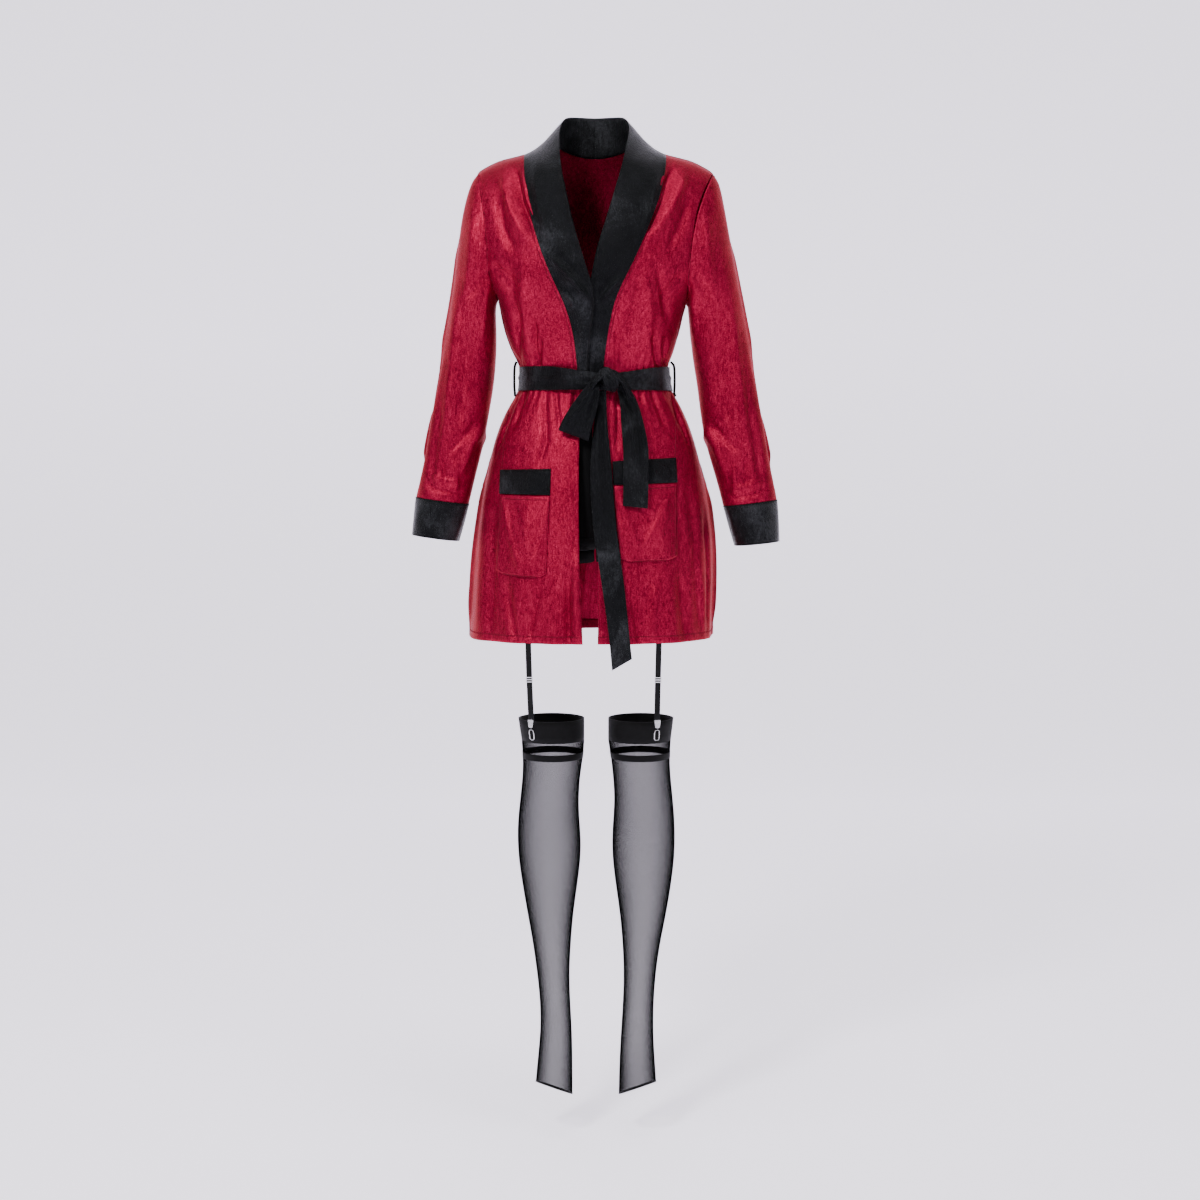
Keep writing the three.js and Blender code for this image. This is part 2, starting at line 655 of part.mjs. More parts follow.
for (const side of ['right', 'left']) {
  const grid = frontGrids[side];
  const geometry = wall(grid, ROBE_WALL, {
    flip: side === 'left',
    fix: (normals, points) => seamFix(normals, points, 'front', [0], () => true),
  });
  addMesh(`robe_front_${side}`, geometry, 'velour');
}
addMesh('robe_back', wall(backGrid, ROBE_WALL, {
  flip: true,
  fix: (normals, points) => {
    const ends = [0, BACK_COLUMNS];
    seamFix(normals, points, 'back', ends, (p) => Math.abs(p.x) > NECK_HALF - 2);
  },
}), 'velour');

// Sleeves: the armhole loop first, then the rings down to the cuff.
function ringPoint(ring, angle) {
  const power = 2.15;
  const c = Math.cos(angle);
  const s = Math.sin(angle);
  const cp = Math.sign(c) * Math.abs(c) ** (2 / power);
  const sp = Math.sign(s) * Math.abs(s) ** (2 / power);
  const x = (ring.xo + ring.xi) / 2 + ((ring.xo - ring.xi) / 2) * cp;
  const z = (ring.zo + ring.zi) / 2 + ((ring.zo - ring.zi) / 2) * cp;
  return new THREE.Vector3(x, ring.y + ring.half * sp, z);
}

// A point of the armhole seam: 0 at the shoulder tip, 1 at the armpit, on either face.
function armholePoint(side, t, face) {
  const sign = side === 'right' ? -1 : 1;
  const z = mix(-35, ARMPIT_Z[side], t);
  const x = sign * look(ARMHOLE, 'z', z, side);
  const ends = t < 1e-6 || t > 1 - 1e-6;
  const y = ends ? 0 : bodyY(x, z, face);
  return new THREE.Vector3(x, y, z);
}

function sleeveGrid(side) {
  const sign = side === 'right' ? -1 : 1;
  const rings = side === 'right' ? SLEEVE_RIGHT : SLEEVE_LEFT;
  const loop = [];
  for (let k = 0; k < RING_SIDES; k += 1) {
    const angle = (k / RING_SIDES) * 2 * Math.PI;
    const t = (1 - Math.cos(angle)) / 2;
    const face = Math.sin(angle) > 0 ? 'back' : 'front';
    const p = armholePoint(side, t, face);
    const under = clamp(-Math.cos(angle) * 3 - 1.6, 0, 1);
    loop.push(p.add(new THREE.Vector3(sign * mix(SEAM_GAP, 1.2, under), 0, SEAM_GAP * under)));
  }
  const grid = [loop];
  const start = { xo: loop[0].x, zo: loop[0].z, xi: loop[RING_SIDES / 2].x, zi: loop[RING_SIDES / 2].z };
  for (const ring of rings) {
    const row = loop.map((p, k) => {
      const angle = (k / RING_SIDES) * 2 * Math.PI;
      const own = ringPoint(ring, angle);
      const w = (1 + Math.cos(angle)) / 2;
      const moved = p.clone();
      moved.x += mix(ring.xi - start.xi, ring.xo - start.xo, w);
      moved.z += mix(ring.zi - start.zi, ring.zo - start.zo, w);
      return moved.lerp(own, ring.own);
    });
    grid.push(row);
  }
  return grid;
}

// At the armhole the sleeve's rim never leans back over the body panel.
function armholeFix(side) {
  const sign = side === 'right' ? -1 : 1;
  return (normals) => {
    normals[0].forEach((n) => {
      if (n.x * sign > 0) {
        n.x = 0;
        n.normalize();
      }
    });
  };
}

for (const side of ['right', 'left']) {
  const flip = side === 'left';
  const grid = sleeveGrid(side);
  addMesh(`sleeve_${side}`, wall(grid, ROBE_WALL, { closed: true, flip, fix: armholeFix(side) }), 'velour');
  const cuff = side === 'right' ? CUFF_RIGHT : CUFF_LEFT;
  const cuffGrid = cuff.map((ring) => {
    const row = [];
    for (let k = 0; k < RING_SIDES; k += 1) {
      row.push(ringPoint(ring, (k / RING_SIDES) * 2 * Math.PI));
    }
    return row;
  });
  addMesh(`cuff_${side}`, wall(cuffGrid, TRIM_WALL, { closed: true, flip }), 'blackVelour');
}

// Round the neck: the roll, and the free edge on the shoulder or the back, at each station.
const NECK = [
  { dx: 3, dy: 1, rise: 10, fx: 105, fz: -27, face: 'front' },
  { dx: 7, dy: 4, rise: 20, fx: 106, fz: -16, face: 'front' },
  { dx: 13, dy: 3, rise: 35, fx: 104, fz: -5.5, face: 'back' },
  { dx: 4, dy: -8, rise: 51, fx: 93, fz: -10, face: 'back' },
  { dx: 1, dy: -8, rise: 57, fx: 70, fz: -16, face: 'back' },
  { dx: 0, dy: -7, rise: 60, fx: 37, fz: -21, face: 'back' },
  { dx: 0, dy: -6, rise: 61, fx: 0, fz: -23, face: 'back' },
];
const LEAF = [0, 0.12, 0.3, 0.52, 0.76, 1];

// Moves a collar point out until it clears the robe underneath.
function clearRobe(p, out) {
  const face = p.y < 0 ? 'front' : 'back';
  const away = new THREE.Vector3(0, face === 'front' ? -0.7 : 0.7, 0.7);
  for (let i = 0; i < 120; i += 1) {
    const q = p.clone().addScaledVector(away, -out);
    const ridge = look(SHOULDER_LINE, 'x', Math.abs(q.x), 'z');
    const surface = q.z >= ridge ? 0 : Math.abs(bodyY(q.x, q.z, face));
    const free = q.z >= ridge || (q.y * (face === 'front' ? -1 : 1)) >= surface;
    if (free) {
      return p;
    }
    p.addScaledVector(away, 0.4);
  }
  return p;
}

function lapelRow(seam, side) {
  const sign = side === 'right' ? -1 : 1;
  const { x: inner, z } = seam;
  const free = sign * look(COLLAR_FREE, 'z', z, side);
  const width = Math.abs(free - inner);
  const under = side === 'left' ? 1 - smooth((-165 - z) / 35) : smooth((z + 350) / 60);
  const puff = Math.min(6, width * 0.12) * smooth((z + 350) / 120) * under;
  const base = LAY_GAP + TRIM_WALL + 0.3 + 0.9 * smooth((z + 130) / 40);
  const turn = inner - sign * (SEAM_GAP + TRIM_WALL);
  const row = [
    frontPoint(turn, z, side, -ROBE_WALL),
    frontPoint(turn - sign * 0.3, z, side, base * 0.4),
  ];
  for (const u of LEAF) {
    const x = mix(inner - sign * (SEAM_GAP + 0.8), free, u);
    const rise = base + puff * Math.sin(Math.PI * clamp(u * 0.9 + 0.12, 0, 1));
    row.push(frontPoint(x, z, side, rise));
  }
  return row;
}

function neckRow(seam, side, station) {
  const sign = side === 'right' ? -1 : 1;
  const s = NECK[station];
  const roll = new THREE.Vector3(seam.x - sign * s.dx, seam.y + s.dy, seam.z + s.rise);
  const last = station === NECK.length - 1;
  if (last) {
    roll.x = sign * (SEAM_GAP / 2);
  }
  const fx = last ? sign * (SEAM_GAP / 2) : sign * s.fx;
  const free = new THREE.Vector3(fx, bodyY(fx, s.fz, s.face), s.fz);
  const inward = new THREE.Vector3(seam.x, seam.y, 0).normalize();
  const start = seam.clone().addScaledVector(inward, -(SEAM_GAP + TRIM_WALL + 1));
  if (last) {
    start.x = roll.x;
  }
  const row = [start, start.clone().lerp(roll, 0.6)];
  const out = new THREE.Vector3(s.fx * sign, free.y, 0).normalize();
  for (const u of LEAF) {
    const p = roll.clone().lerp(free, u);
    p.z -= 5 * Math.sin(Math.PI * u);
    p.addScaledVector(out, 4 * Math.sin(Math.PI * u ** 0.6) * (1 - u));
    if (last) {
      p.x = roll.x;
    }
    row.push(u > 0.05 ? clearRobe(p, LAY_GAP + TRIM_WALL + 2) : p);
  }
  return row;
}

function collarGrid(side) {
  const front = frontGrids[side].map((row) => row[FRONT_COLUMNS]);
  const seams = front.filter((p) => p.z > COLLAR_END_Z);
  const grid = [];
  const lapels = seams.length - 3;
  seams.slice(0, lapels).forEach((p) => grid.push(lapelRow(p, side)));
  seams.slice(lapels).forEach((p, i) => grid.push(neckRow(p, side, i)));
  const neckline = backGrid[backGrid.length - 1];
  const middle = BACK_COLUMNS / 2;
  for (let i = 3; i < NECK.length; i += 1) {
    const step = 6 - i;
    const seam = neckline[side === 'right' ? middle - step : middle + step];
    grid.push(neckRow(seam, side, i));
  }
  return grid;
}

for (const side of ['right', 'left']) {
  const fix = (normals) => {
    const top = normals[normals.length - 1];
    top.forEach((n) => {
      n.x = 0;
      n.normalize();
    });
  };
  const geometry = wall(collarGrid(side), TRIM_WALL, { flip: side === 'right', fix });
  addMesh(`collar_${side}`, geometry, 'blackVelour');
}

// Patch pockets lie on the front panels.
function patch(corners, side, cols, rows, rise, round, gap) {
  const [tlx, tlz, trx, trz] = corners.top;
  const [blx, blz, brx, brz] = corners.bottom;
  const grid = [];
  for (let r = 0; r <= rows; r += 1) {
    const v = r / rows;
    const row = [];
    for (let c = 0; c <= cols; c += 1) {
      const u = c / cols;
      const corner = round * (1 - v) ** 6 * (Math.abs(2 * u - 1) ** 8);
      const x = mix(mix(blx, brx, u), mix(tlx, trx, u), v);
      const z = mix(mix(blz, brz, u), mix(tlz, trz, u), v) + corner;
      const pouch = Math.sin(Math.PI * u) * Math.sin(Math.PI * clamp(v * 0.85 + 0.15, 0, 1));
      const out = gap + TRIM_WALL + rise * pouch;
      row.push(frontPoint(x, z, side, out));
    }
    grid.push(row);
  }
  return grid;
}

for (const side of ['right', 'left']) {
  const pocket = side === 'right' ? POCKET_RIGHT : POCKET_LEFT;
  addMesh(`pocket_bag_${side}`, wall(patch(pocket.bag, side, 8, 8, 3, 6, 1.2), TRIM_WALL), 'velour');
  addMesh(`pocket_band_${side}`, wall(patch(pocket.band, side, 8, 2, 2, 0, 0.8), TRIM_WALL), 'blackVelour');
}

// Sash round the waist.
const SASH_SIDES = 44;

// How far the sash stands off the robe, further where the fronts and collars lap.
function sashStand(x, y) {
  if (y > 0) {
    return 0.6;
  }
  const lap = smooth((x + 70) / 34) * smooth((34 - x) / 18);
  return mix(0.7, 10, lap);
}

function sashTop(x, y) {
  if (y > 0) {
    return SASH_TOP_Z;
  }
  return SASH_TOP_Z - 11 * smooth(1 - Math.abs(x - 18) / 95);
}

const sashRows = [];
for (let r = 0; r <= 2; r += 1) {
  const row = [];
  for (let k = 0; k < SASH_SIDES; k += 1) {
    const angle = (k / SASH_SIDES) * 2 * Math.PI;
    const z0 = mix(SASH_BOTTOM_Z, SASH_TOP_Z, r / 2);
    const c = Math.cos(angle);
    const s = Math.sin(angle);
    const side = c < 0 ? 'right' : 'left';
    const face = s > 0 ? 'back' : 'front';
    const half = Math.max(look(BODY_WIDTH, 'z', z0, side), 110.5);
    const depth = look(BODY_DEPTH, 'z', z0, face);
    const x0 = Math.sign(c) * half * Math.abs(c) ** (2 / BODY_POWER);
    const y0 = Math.sign(s) * depth * Math.abs(s) ** (2 / BODY_POWER);
    const z = mix(SASH_BOTTOM_Z, sashTop(x0, y0), r / 2);
    const out = sashStand(x0, y0) + SASH_WALL + (r === 1 ? 0.8 : 0);
    const n = new THREE.Vector3(c / half, s / depth, 0).normalize();
    row.push(new THREE.Vector3(x0 + n.x * out, y0 + n.y * out, z));
  }
  sashRows.push(row);
}
addMesh('sash_band', wall(sashRows, SASH_WALL, { closed: true }), 'blackVelour');

// A ribbon's section: across from -1 to 1, and out in shares of its thickness.
const RIBBON_SECTION = [
  [-1, 0.5], [-0.4, 0.62], [0.4, 0.62], [1, 0.5],
  [1, -0.5], [0.4, -0.38], [-0.4, -0.38], [-1, -0.5],
];

// Flat ribbon: centre points with half width vectors, as a bar of four long faces.
function ribbon(stations, thickness) {
  const rings = stations.map((s) => {
    const mid = new THREE.Vector3(s.x, s.y, s.z);
    const across = new THREE.Vector3(s.ax, s.ay, s.az);
    const out = new THREE.Vector3(s.nx ?? 0, s.ny ?? -1, s.nz ?? 0).normalize();
    const ring = [];
    for (const [u, v] of RIBBON_SECTION) {
      ring.push(mid.clone().addScaledVector(across, u).addScaledVector(out, v * thickness));
    }
    return ring;
  });
  return bar(rings);
}

// The knot: a rounded wrap with a waist, in front of the sash.
const KNOT = { x: 21, z: -346, halfX: 15.5, halfZ: 14.5, front: -111, back: -91.4 };
const knotRings = [];
for (const [t, size] of [[0, 0.55], [0.18, 0.86], [0.45, 1], [0.72, 0.94], [1, 0.6]]) {
  const ring = [];
  for (let k = 0; k < 14; k += 1) {
    const angle = (-k / 14) * 2 * Math.PI;
    const c = Math.cos(angle);
    const s = Math.sin(angle);
    const x = KNOT.x + KNOT.halfX * size * Math.sign(c) * Math.abs(c) ** 0.75;
    const z = KNOT.z + KNOT.halfZ * size * Math.sign(s) * Math.abs(s) ** 0.75;
    ring.push(new THREE.Vector3(x, mix(KNOT.back, KNOT.front, t), z));
  }
  knotRings.push(ring);
}
addMesh('sash_knot', bar(knotRings), 'blackVelour');

// Depth that clears the front of the robe and its pockets under a ribbon.
function overFront(x, z, reach, stand) {
  let y = 0;
  for (const u of [-1, -0.5, 0, 0.5, 1]) {
    const at = x + u * reach;
    const side = at < -8 ? 'right' : 'left';
    y = Math.min(y, frontY(at, z, side));
  }
  return y - stand;
}

const TAIL_LONG = [
  { x: 11.5, z: -361, half: 5, stand: 9 },
  { x: 9.5, z: -384, half: 7, stand: 7 },
  { x: 8.5, z: -405, half: 9, stand: 6 },
  { x: 8, z: -434, half: 12, stand: 6 },
  { x: 8.5, z: -471, half: 15.5, stand: 6 },
  { x: 10, z: -509, half: 16.5, stand: 6 },
  { x: 14.3, z: -569, half: 17, stand: 6 },
  { x: 21.6, z: -612, half: 16.5, stand: 6 },
  { x: 29.4, z: -668, half: 16, stand: 6 },
  { x: 36, z: -726, half: 14.5, stand: 6 },
  { x: 39.5, z: -762, half: 14.5, stand: 6 },
];
const tailLong = TAIL_LONG.map((s, i) => ({
  x: s.x,
  y: overFront(s.x, Math.max(s.z, HEM_Z), s.half, s.stand),
  z: s.z,
  ax: s.half,
  ay: 0,
  az: i === TAIL_LONG.length - 1 ? 8.5 : 0,
}));
addMesh('sash_tail_long', ribbon(tailLong, SASH_WALL), 'blackVelour');

const TAIL_SHORT = [
  { x: 36.8, z: -354, ax: 4.5, az: 6, stand: 8.1 },
  { x: 46, z: -370, ax: 9, az: 8, stand: 9 },
  { x: 52, z: -392, ax: 14, az: 5, stand: 8 },
  { x: 56, z: -417, ax: 17, az: 1, stand: 8 },
  { x: 60, z: -442, ax: 18.5, az: 0, stand: 8 },
  { x: 60.5, z: -470, ax: 18.5, az: 0, stand: 8 },
  { x: 60, z: -500, ax: 18.3, az: -1, stand: 8 },
  { x: 59, z: -532, ax: 18, az: -2, stand: 8 },
];
const tailShort = TAIL_SHORT.map((s) => ({
  x: s.x,
  y: overFront(s.x, s.z, s.ax, s.stand),
  z: s.z,
  ax: s.ax,
  ay: 0,
  az: s.az,
}));
addMesh('sash_tail_short', ribbon(tailShort, SASH_WALL), 'blackVelour');

// The one loop of the bow: down behind, round at the bottom and up again in front.
const LOOP = [
  { x: -1, z: -353, ax: 6.6, az: -5, out: 8.6 },
  { x: -7, z: -368, ax: 12, az: -6, out: 8 },
  { x: -19, z: -392, ax: 18, az: -7, out: 6 },
  { x: -29, z: -416, ax: 21, az: -8, out: 6 },
  { x: -31.5, z: -423, ax: 21.5, az: -8, out: 7.5, turn: 0.8 },
  { x: -32.5, z: -426.5, ax: 21.5, az: -8, out: 10.5, turn: 1.57 },
  { x: -31.5, z: -423, ax: 21.5, az: -8, out: 13.5, turn: 2.3 },
  { x: -29, z: -415, ax: 21, az: -8, out: 15, turn: 3.14 },
  { x: -18, z: -390, ax: 18, az: -7, out: 16, turn: 3.14 },
  { x: -6, z: -366, ax: 12, az: -6, out: 16, turn: 3.14 },
  { x: -1, z: -352, ax: 6.6, az: -5, out: 14, turn: 3.14 },
];
const LOOP_SHIFT = { x: 0.8, z: -0.4 }; // brings the loop's gathered ends up to the knot
const LOOP_WALL = 1.8;
const loopBase = Math.min(...LOOP.map((s) => overFront(s.x, s.z, 18, 0)));
const loopStations = LOOP.map((s) => {
  const turn = s.turn ?? 0;
  return {
    x: s.x + LOOP_SHIFT.x,
    y: mix(loopBase, overFront(s.x, s.z, 12, 0), 0.3) - s.out + 2,
    z: s.z + LOOP_SHIFT.z,
    ax: s.ax,
    ay: 0,
    az: s.az,
    nx: 0.4 * Math.sin(turn),
    ny: -Math.cos(turn),
    nz: 0.9 * Math.sin(turn),
  };
});
addMesh('sash_loop', ribbon(loopStations, LOOP_WALL), 'blackVelour');

// A round cord along a path of points, its section held upright in the plane of the path.
function cord(points, radius, sides, planeNormal, closedPath = false) {
  const count = points.length;
  const rings = points.map((p, i) => {
    const next = closedPath ? points[(i + 1) % count] : points[Math.min(i + 1, count - 1)];
    const last = closedPath ? points[(i + count - 1) % count] : points[Math.max(i - 1, 0)];
    const along = next.clone().sub(last).normalize();
    const out = along.clone().cross(planeNormal).normalize();
    const ring = [];
    for (let k = 0; k < sides; k += 1) {
      const angle = (k / sides) * 2 * Math.PI;
      const q = p.clone().addScaledVector(out, radius * Math.cos(angle));
      ring.push(q.addScaledVector(planeNormal, radius * Math.sin(angle)));
    }
    return ring;
  });
  return bar(rings, closedPath);
}

// Belt loops: thread chains at the side seams, arched over the sash.
const BELT_LOOP = { right: { far: 122.6 }, left: { far: 120.4 } };
const BELT_RADIUS = 1;
for (const side of ['right', 'left']) {
  const sign = side === 'right' ? -1 : 1;
  const { far } = BELT_LOOP[side];
  const path = [
    [look(BODY_WIDTH, 'z', -317, side) + 1.9, -317],
    [far - 1.2, -320.5],
    [far, -328],
    [far, -343],
    [far, -357],
    [far - 1, -364.5],
    [look(BODY_WIDTH, 'z', -368, side) + 2.2, -368],
  ].map(([x, z]) => new THREE.Vector3(sign * x, 0, z));
  addMesh(`belt_loop_${side}`, cord(path, BELT_RADIUS, 6, new THREE.Vector3(0, 1, 0)), 'elastic');
}

// Shorts: each half runs from the centre front round the side to the centre back.
function shortsPoint(z, turn, sign) {
  const half = look(SHORTS, 'z', z, 'half');
  const close = clamp(look(SHORTS, 'z', z, 'close'), 0, 1);
  const middle = (close * (half + 1.5)) / 2;
  const reach = half - middle;
  const limit = close >= 1 ? Math.PI : Math.acos(clamp(-middle / reach, -1, 1));
  const angle = turn * limit;
  const depth = look(SHORTS, 'z', z, angle < 0 ? 'front' : 'back');
  const c = Math.cos(angle);
  const s = Math.sin(angle);
  const x = Math.max(middle + reach * Math.sign(c) * Math.abs(c) ** 0.93, SEAM_GAP / 2);
  const y = depth * Math.sign(s) * Math.abs(s) ** 0.9;
  const seam = Math.abs(turn) > 0.999 && close >= 1 ? Math.sign(turn) * (SEAM_GAP / 2) : y;
  return new THREE.Vector3(sign * x, seam, z);
}

for (const side of ['right', 'left']) {
  const sign = side === 'right' ? -1 : 1;
  const grid = SHORTS.map(({ z }) => {
    const row = [];
    for (let c = 0; c <= SHORTS_COLUMNS; c += 1) {
      row.push(shortsPoint(z, (c / SHORTS_COLUMNS) * 2 - 1, sign));
    }
    return row;
  }).reverse();
  const fix = (normals) => {
    normals.forEach((row, r) => {
      for (const c of [0, SHORTS_COLUMNS]) {
        if (r > 1) {
          row[c].x = 0;
        } else {
          row[c].y = 0;
        }
        row[c].normalize();
      }
    });
  };
  addMesh(`shorts_${side}`, wall(grid, SHORTS_WALL, { flip: side === 'right', fix }), 'jersey');
}

// Stockings: a welt and a leg, each a tube of rings.
function stockingRow(ring, sign) {
  const row = [];
  for (let k = 0; k < 18; k += 1) {
    const angle = (k / 18) * 2 * Math.PI;
    const c = Math.cos(angle);
    const s = Math.sin(angle);
    const x = (ring.outer + ring.inner) / 2 + ((ring.outer - ring.inner) / 2) * c;
    const y = ring.y + ring.half * s;
    const z = ring.z - ring.inside * c - ring.front * s;
    row.push(new THREE.Vector3(sign * x, y, z));
  }
  return row;
}

const STOCKINGS = { right: STOCKING_RIGHT, left: STOCKING_LEFT };
for (const side of ['right', 'left']) {
  const sign = side === 'right' ? -1 : 1;
  const table = STOCKINGS[side];
  const flip = side === 'left';
  const welt = table.slice(0, 2).map((ring) => stockingRow(ring, sign));
  addMesh(`stocking_welt_${side}`, wall(welt, WELT_WALL, { closed: true, flip }), 'knit');
  const second = table[1];
  const top = { ...second, z: second.z - SEAM_GAP };
  const leg = [top, ...table.slice(2)].map((ring) => stockingRow(ring, sign));
  addMesh(`stocking_leg_${side}`, wall(leg, STOCKING_WALL, { closed: true, flip }), 'sheer');
}

// Front of the welt at a point, which the clips hold.
function weltY(x, z, side) {
  const [a, b] = STOCKINGS[side];
  const t = clamp((a.z - z) / (a.z - b.z), 0, 1);
  const outer = mix(a.outer, b.outer, t);
  const inner = mix(a.inner, b.inner, t);
  const reach = (outer - inner) / 2;
  const u = clamp((Math.abs(x) - (outer + inner) / 2) / reach, -0.98, 0.98);
  return mix(a.y, b.y, t) - mix(a.half, b.half, t) * Math.sqrt(1 - u * u);
}

const STRAPS = { right: STRAP_RIGHT, left: STRAP_LEFT };
for (const side of ['right', 'left']) {
  const sign = side === 'right' ? -1 : 1;
  const strap = STRAPS[side];
  const clipY = weltY(strap.clip, -866, side) - 3.2;
  const hem = shortsPoint(-606, -0.5, sign).y - (side === 'right' ? 1.1 : 1.9);
  const strapY = (z) => {
    const t = clamp((-624 - z) / 238, 0, 1);
    return mix(hem, clipY, 1 - (1 - t) ** 1.5);
  };
  const stations = (list) => list.map(([x, z]) => ({
    x,
    y: strapY(z),
    z,
    ax: STRAP_WIDTH / 2,
    ay: 0,
    az: 0,
  }));
  addMesh(`garter_strap_upper_${side}`, ribbon(stations(strap.upper), STRAP_THICK), 'elastic');
  addMesh(`garter_strap_lower_${side}`, ribbon(stations(strap.lower), STRAP_THICK), 'elastic');

  // The adjuster: a flat frame with one middle bar, between the two lengths of strap.
  const adjusterX = strap.upper[strap.upper.length - 1][0] * 0.5 + strap.lower[0][0] * 0.5;
  const frame = new THREE.Shape();
  frame.moveTo(-5.6, -4);
  frame.lineTo(5.6, -4);
  frame.lineTo(5.6, 4);
  frame.lineTo(-5.6, 4);
  frame.closePath();
  for (const [low, high] of [[-2.9, -0.6], [0.6, 2.9]]) {
    const hole = new THREE.Path();
    hole.moveTo(-4.5, low);
    hole.lineTo(-4.5, high);
    hole.lineTo(4.5, high);
    hole.lineTo(4.5, low);
    hole.closePath();
    frame.holes.push(hole);
  }
  const adjuster = new THREE.ExtrudeGeometry(frame, { depth: 1.2, bevelEnabled: false });
  const lean = Math.atan2(strapY(-798.5) - strapY(-790.5), 8);
  adjuster.rotateX(Math.PI / 2 + lean);
  adjuster.translate(adjusterX, strapY(-794.5) - 1.2, -794.5);
  addMesh(`garter_adjuster_${side}`, indexed(adjuster), 'metal');

  // The clip: a plate under the strap, a wire loop in front of the welt, and a button
  // on a flap that comes over the welt's top edge from behind. It turns with the welt.
  const clipX = strap.clip;
  const front = (z) => weltY(clipX, z, side) - weltY(clipX, -866, side);
  const slope = weltY(clipX + 2, -866, side) - weltY(clipX - 2, -866, side);
  const place = new THREE.Matrix4().makeRotationZ(Math.atan2(slope, 4));
  place.setPosition(clipX, weltY(clipX, -866, side), 0);
  const clip = (name, geometry, material) => {
    addMesh(`garter_clip_${name}_${side}`, indexed(geometry).applyMatrix4(place), material);
  };

  const plate = new THREE.Shape();
  plate.absarc(3.6, 3.6, 1.8, 0, Math.PI / 2);
  plate.absarc(-3.6, 3.6, 1.8, Math.PI / 2, Math.PI);
  plate.absarc(-1.6, -4.4, 2.6, Math.PI, 1.5 * Math.PI);
  plate.absarc(1.6, -4.4, 2.6, 1.5 * Math.PI, 2 * Math.PI);
  plate.closePath();
  const plateBody = new THREE.ExtrudeGeometry(plate, {
    depth: 1,
    bevelEnabled: false,
    curveSegments: 4,
  });
  plateBody.rotateX(Math.PI / 2);
  plateBody.translate(0, -0.9, -862.2);
  clip('plate', plateBody, 'metal');

  const wire = [];
  for (let k = 0; k < 12; k += 1) {
    const angle = (k / 12) * 2 * Math.PI;
    const c = Math.cos(angle);
    const z = -880.3 + Math.sign(Math.sin(angle)) * 3.6 + 4.4 * Math.sin(angle);
    wire.push(new THREE.Vector3(4.4 * Math.sign(c) * Math.abs(c) ** 0.8, front(z) - 1.3, z));
  }
  clip('loop', cord(wire, 0.65, 6, new THREE.Vector3(0, 1, 0), true), 'metal');

  const flapPath = [
    [-0.1, -857.4],
    [0.5, -856.4],
    [WELT_WALL + 0.9, -857],
    [WELT_WALL + 2, -862],
    [front(-878) + WELT_WALL + 3.7, -874],
    [front(-889) + WELT_WALL + 3.6, -889],
  ];
  const flap = flapPath.map(([y, z], i) => {
    const a = flapPath[Math.max(i - 1, 0)];
    const b = flapPath[Math.min(i + 1, flapPath.length - 1)];
    return { x: 0, y, z, ax: i < 2 ? 2.6 : 3.2, ay: 0, az: 0, ny: b[1] - a[1], nz: a[0] - b[0] };
  });
  clip('flap', ribbon(flap, 0.9), 'rubber');

  const button = new THREE.CylinderGeometry(3.3, 3.3, 1.6, 14);
  button.translate(0, front(-883) + WELT_WALL + 1.55, -883);
  clip('button', button, 'rubber');
}

function indexed(geometry) {
  geometry.deleteAttribute('uv');
  geometry.deleteAttribute('normal');
  return mergeVertices(geometry, 1e-4);
}

export default group;
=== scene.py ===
"""Cloth, seams, stitches and metal of a shawl-collar robe costume set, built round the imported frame.

Metres, +Z up, the front faces -Y. Tables give millimetres.
Right and left are the wearer's, and right is -X.
"""

import math

import bmesh
import bpy
import numpy as np
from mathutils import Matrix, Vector
from mathutils.bvhtree import BVHTree
from mathutils.kdtree import KDTree


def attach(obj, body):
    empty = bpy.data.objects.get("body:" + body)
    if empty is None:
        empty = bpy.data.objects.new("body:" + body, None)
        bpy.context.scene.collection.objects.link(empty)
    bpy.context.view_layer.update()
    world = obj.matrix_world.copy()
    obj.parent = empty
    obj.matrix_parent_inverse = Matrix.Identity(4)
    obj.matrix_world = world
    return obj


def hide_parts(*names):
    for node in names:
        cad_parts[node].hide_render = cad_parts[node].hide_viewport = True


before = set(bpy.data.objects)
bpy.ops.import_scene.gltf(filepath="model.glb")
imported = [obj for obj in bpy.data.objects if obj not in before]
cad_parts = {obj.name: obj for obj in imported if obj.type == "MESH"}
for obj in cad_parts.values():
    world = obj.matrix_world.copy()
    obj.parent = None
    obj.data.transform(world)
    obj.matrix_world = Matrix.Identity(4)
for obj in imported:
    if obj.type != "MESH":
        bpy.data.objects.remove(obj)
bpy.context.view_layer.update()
MM = 0.001
SIDES = ("right", "left")
SEAM_FILL = 0.21  # each shell is this much fuller all round, which closes the seams

# Camera, lights, floor.

FLOOR_Z = -1.5105
STUDIO_REACH = 6.0
STUDIO_HEIGHT = 7.0
BEND_Y = 3.0  # the floor starts to curve up here, far behind the object
BEND = 1.4
BEND_STEPS = 24


def look_at(obj, target):
    """Turns a lamp so that it shines at a point."""
    obj.rotation_euler = (Vector(target) - obj.location).to_track_quat("-Z", "Y").to_euler()


def area_lamp(name, place, target, size, watts):
    data = bpy.data.lights.new(name, "AREA")
    data.shape = "RECTANGLE"
    data.size, data.size_y = size
    data.energy = watts
    lamp = bpy.data.objects.new(name, data)
    bpy.context.collection.objects.link(lamp)
    lamp.location = place
    look_at(lamp, target)


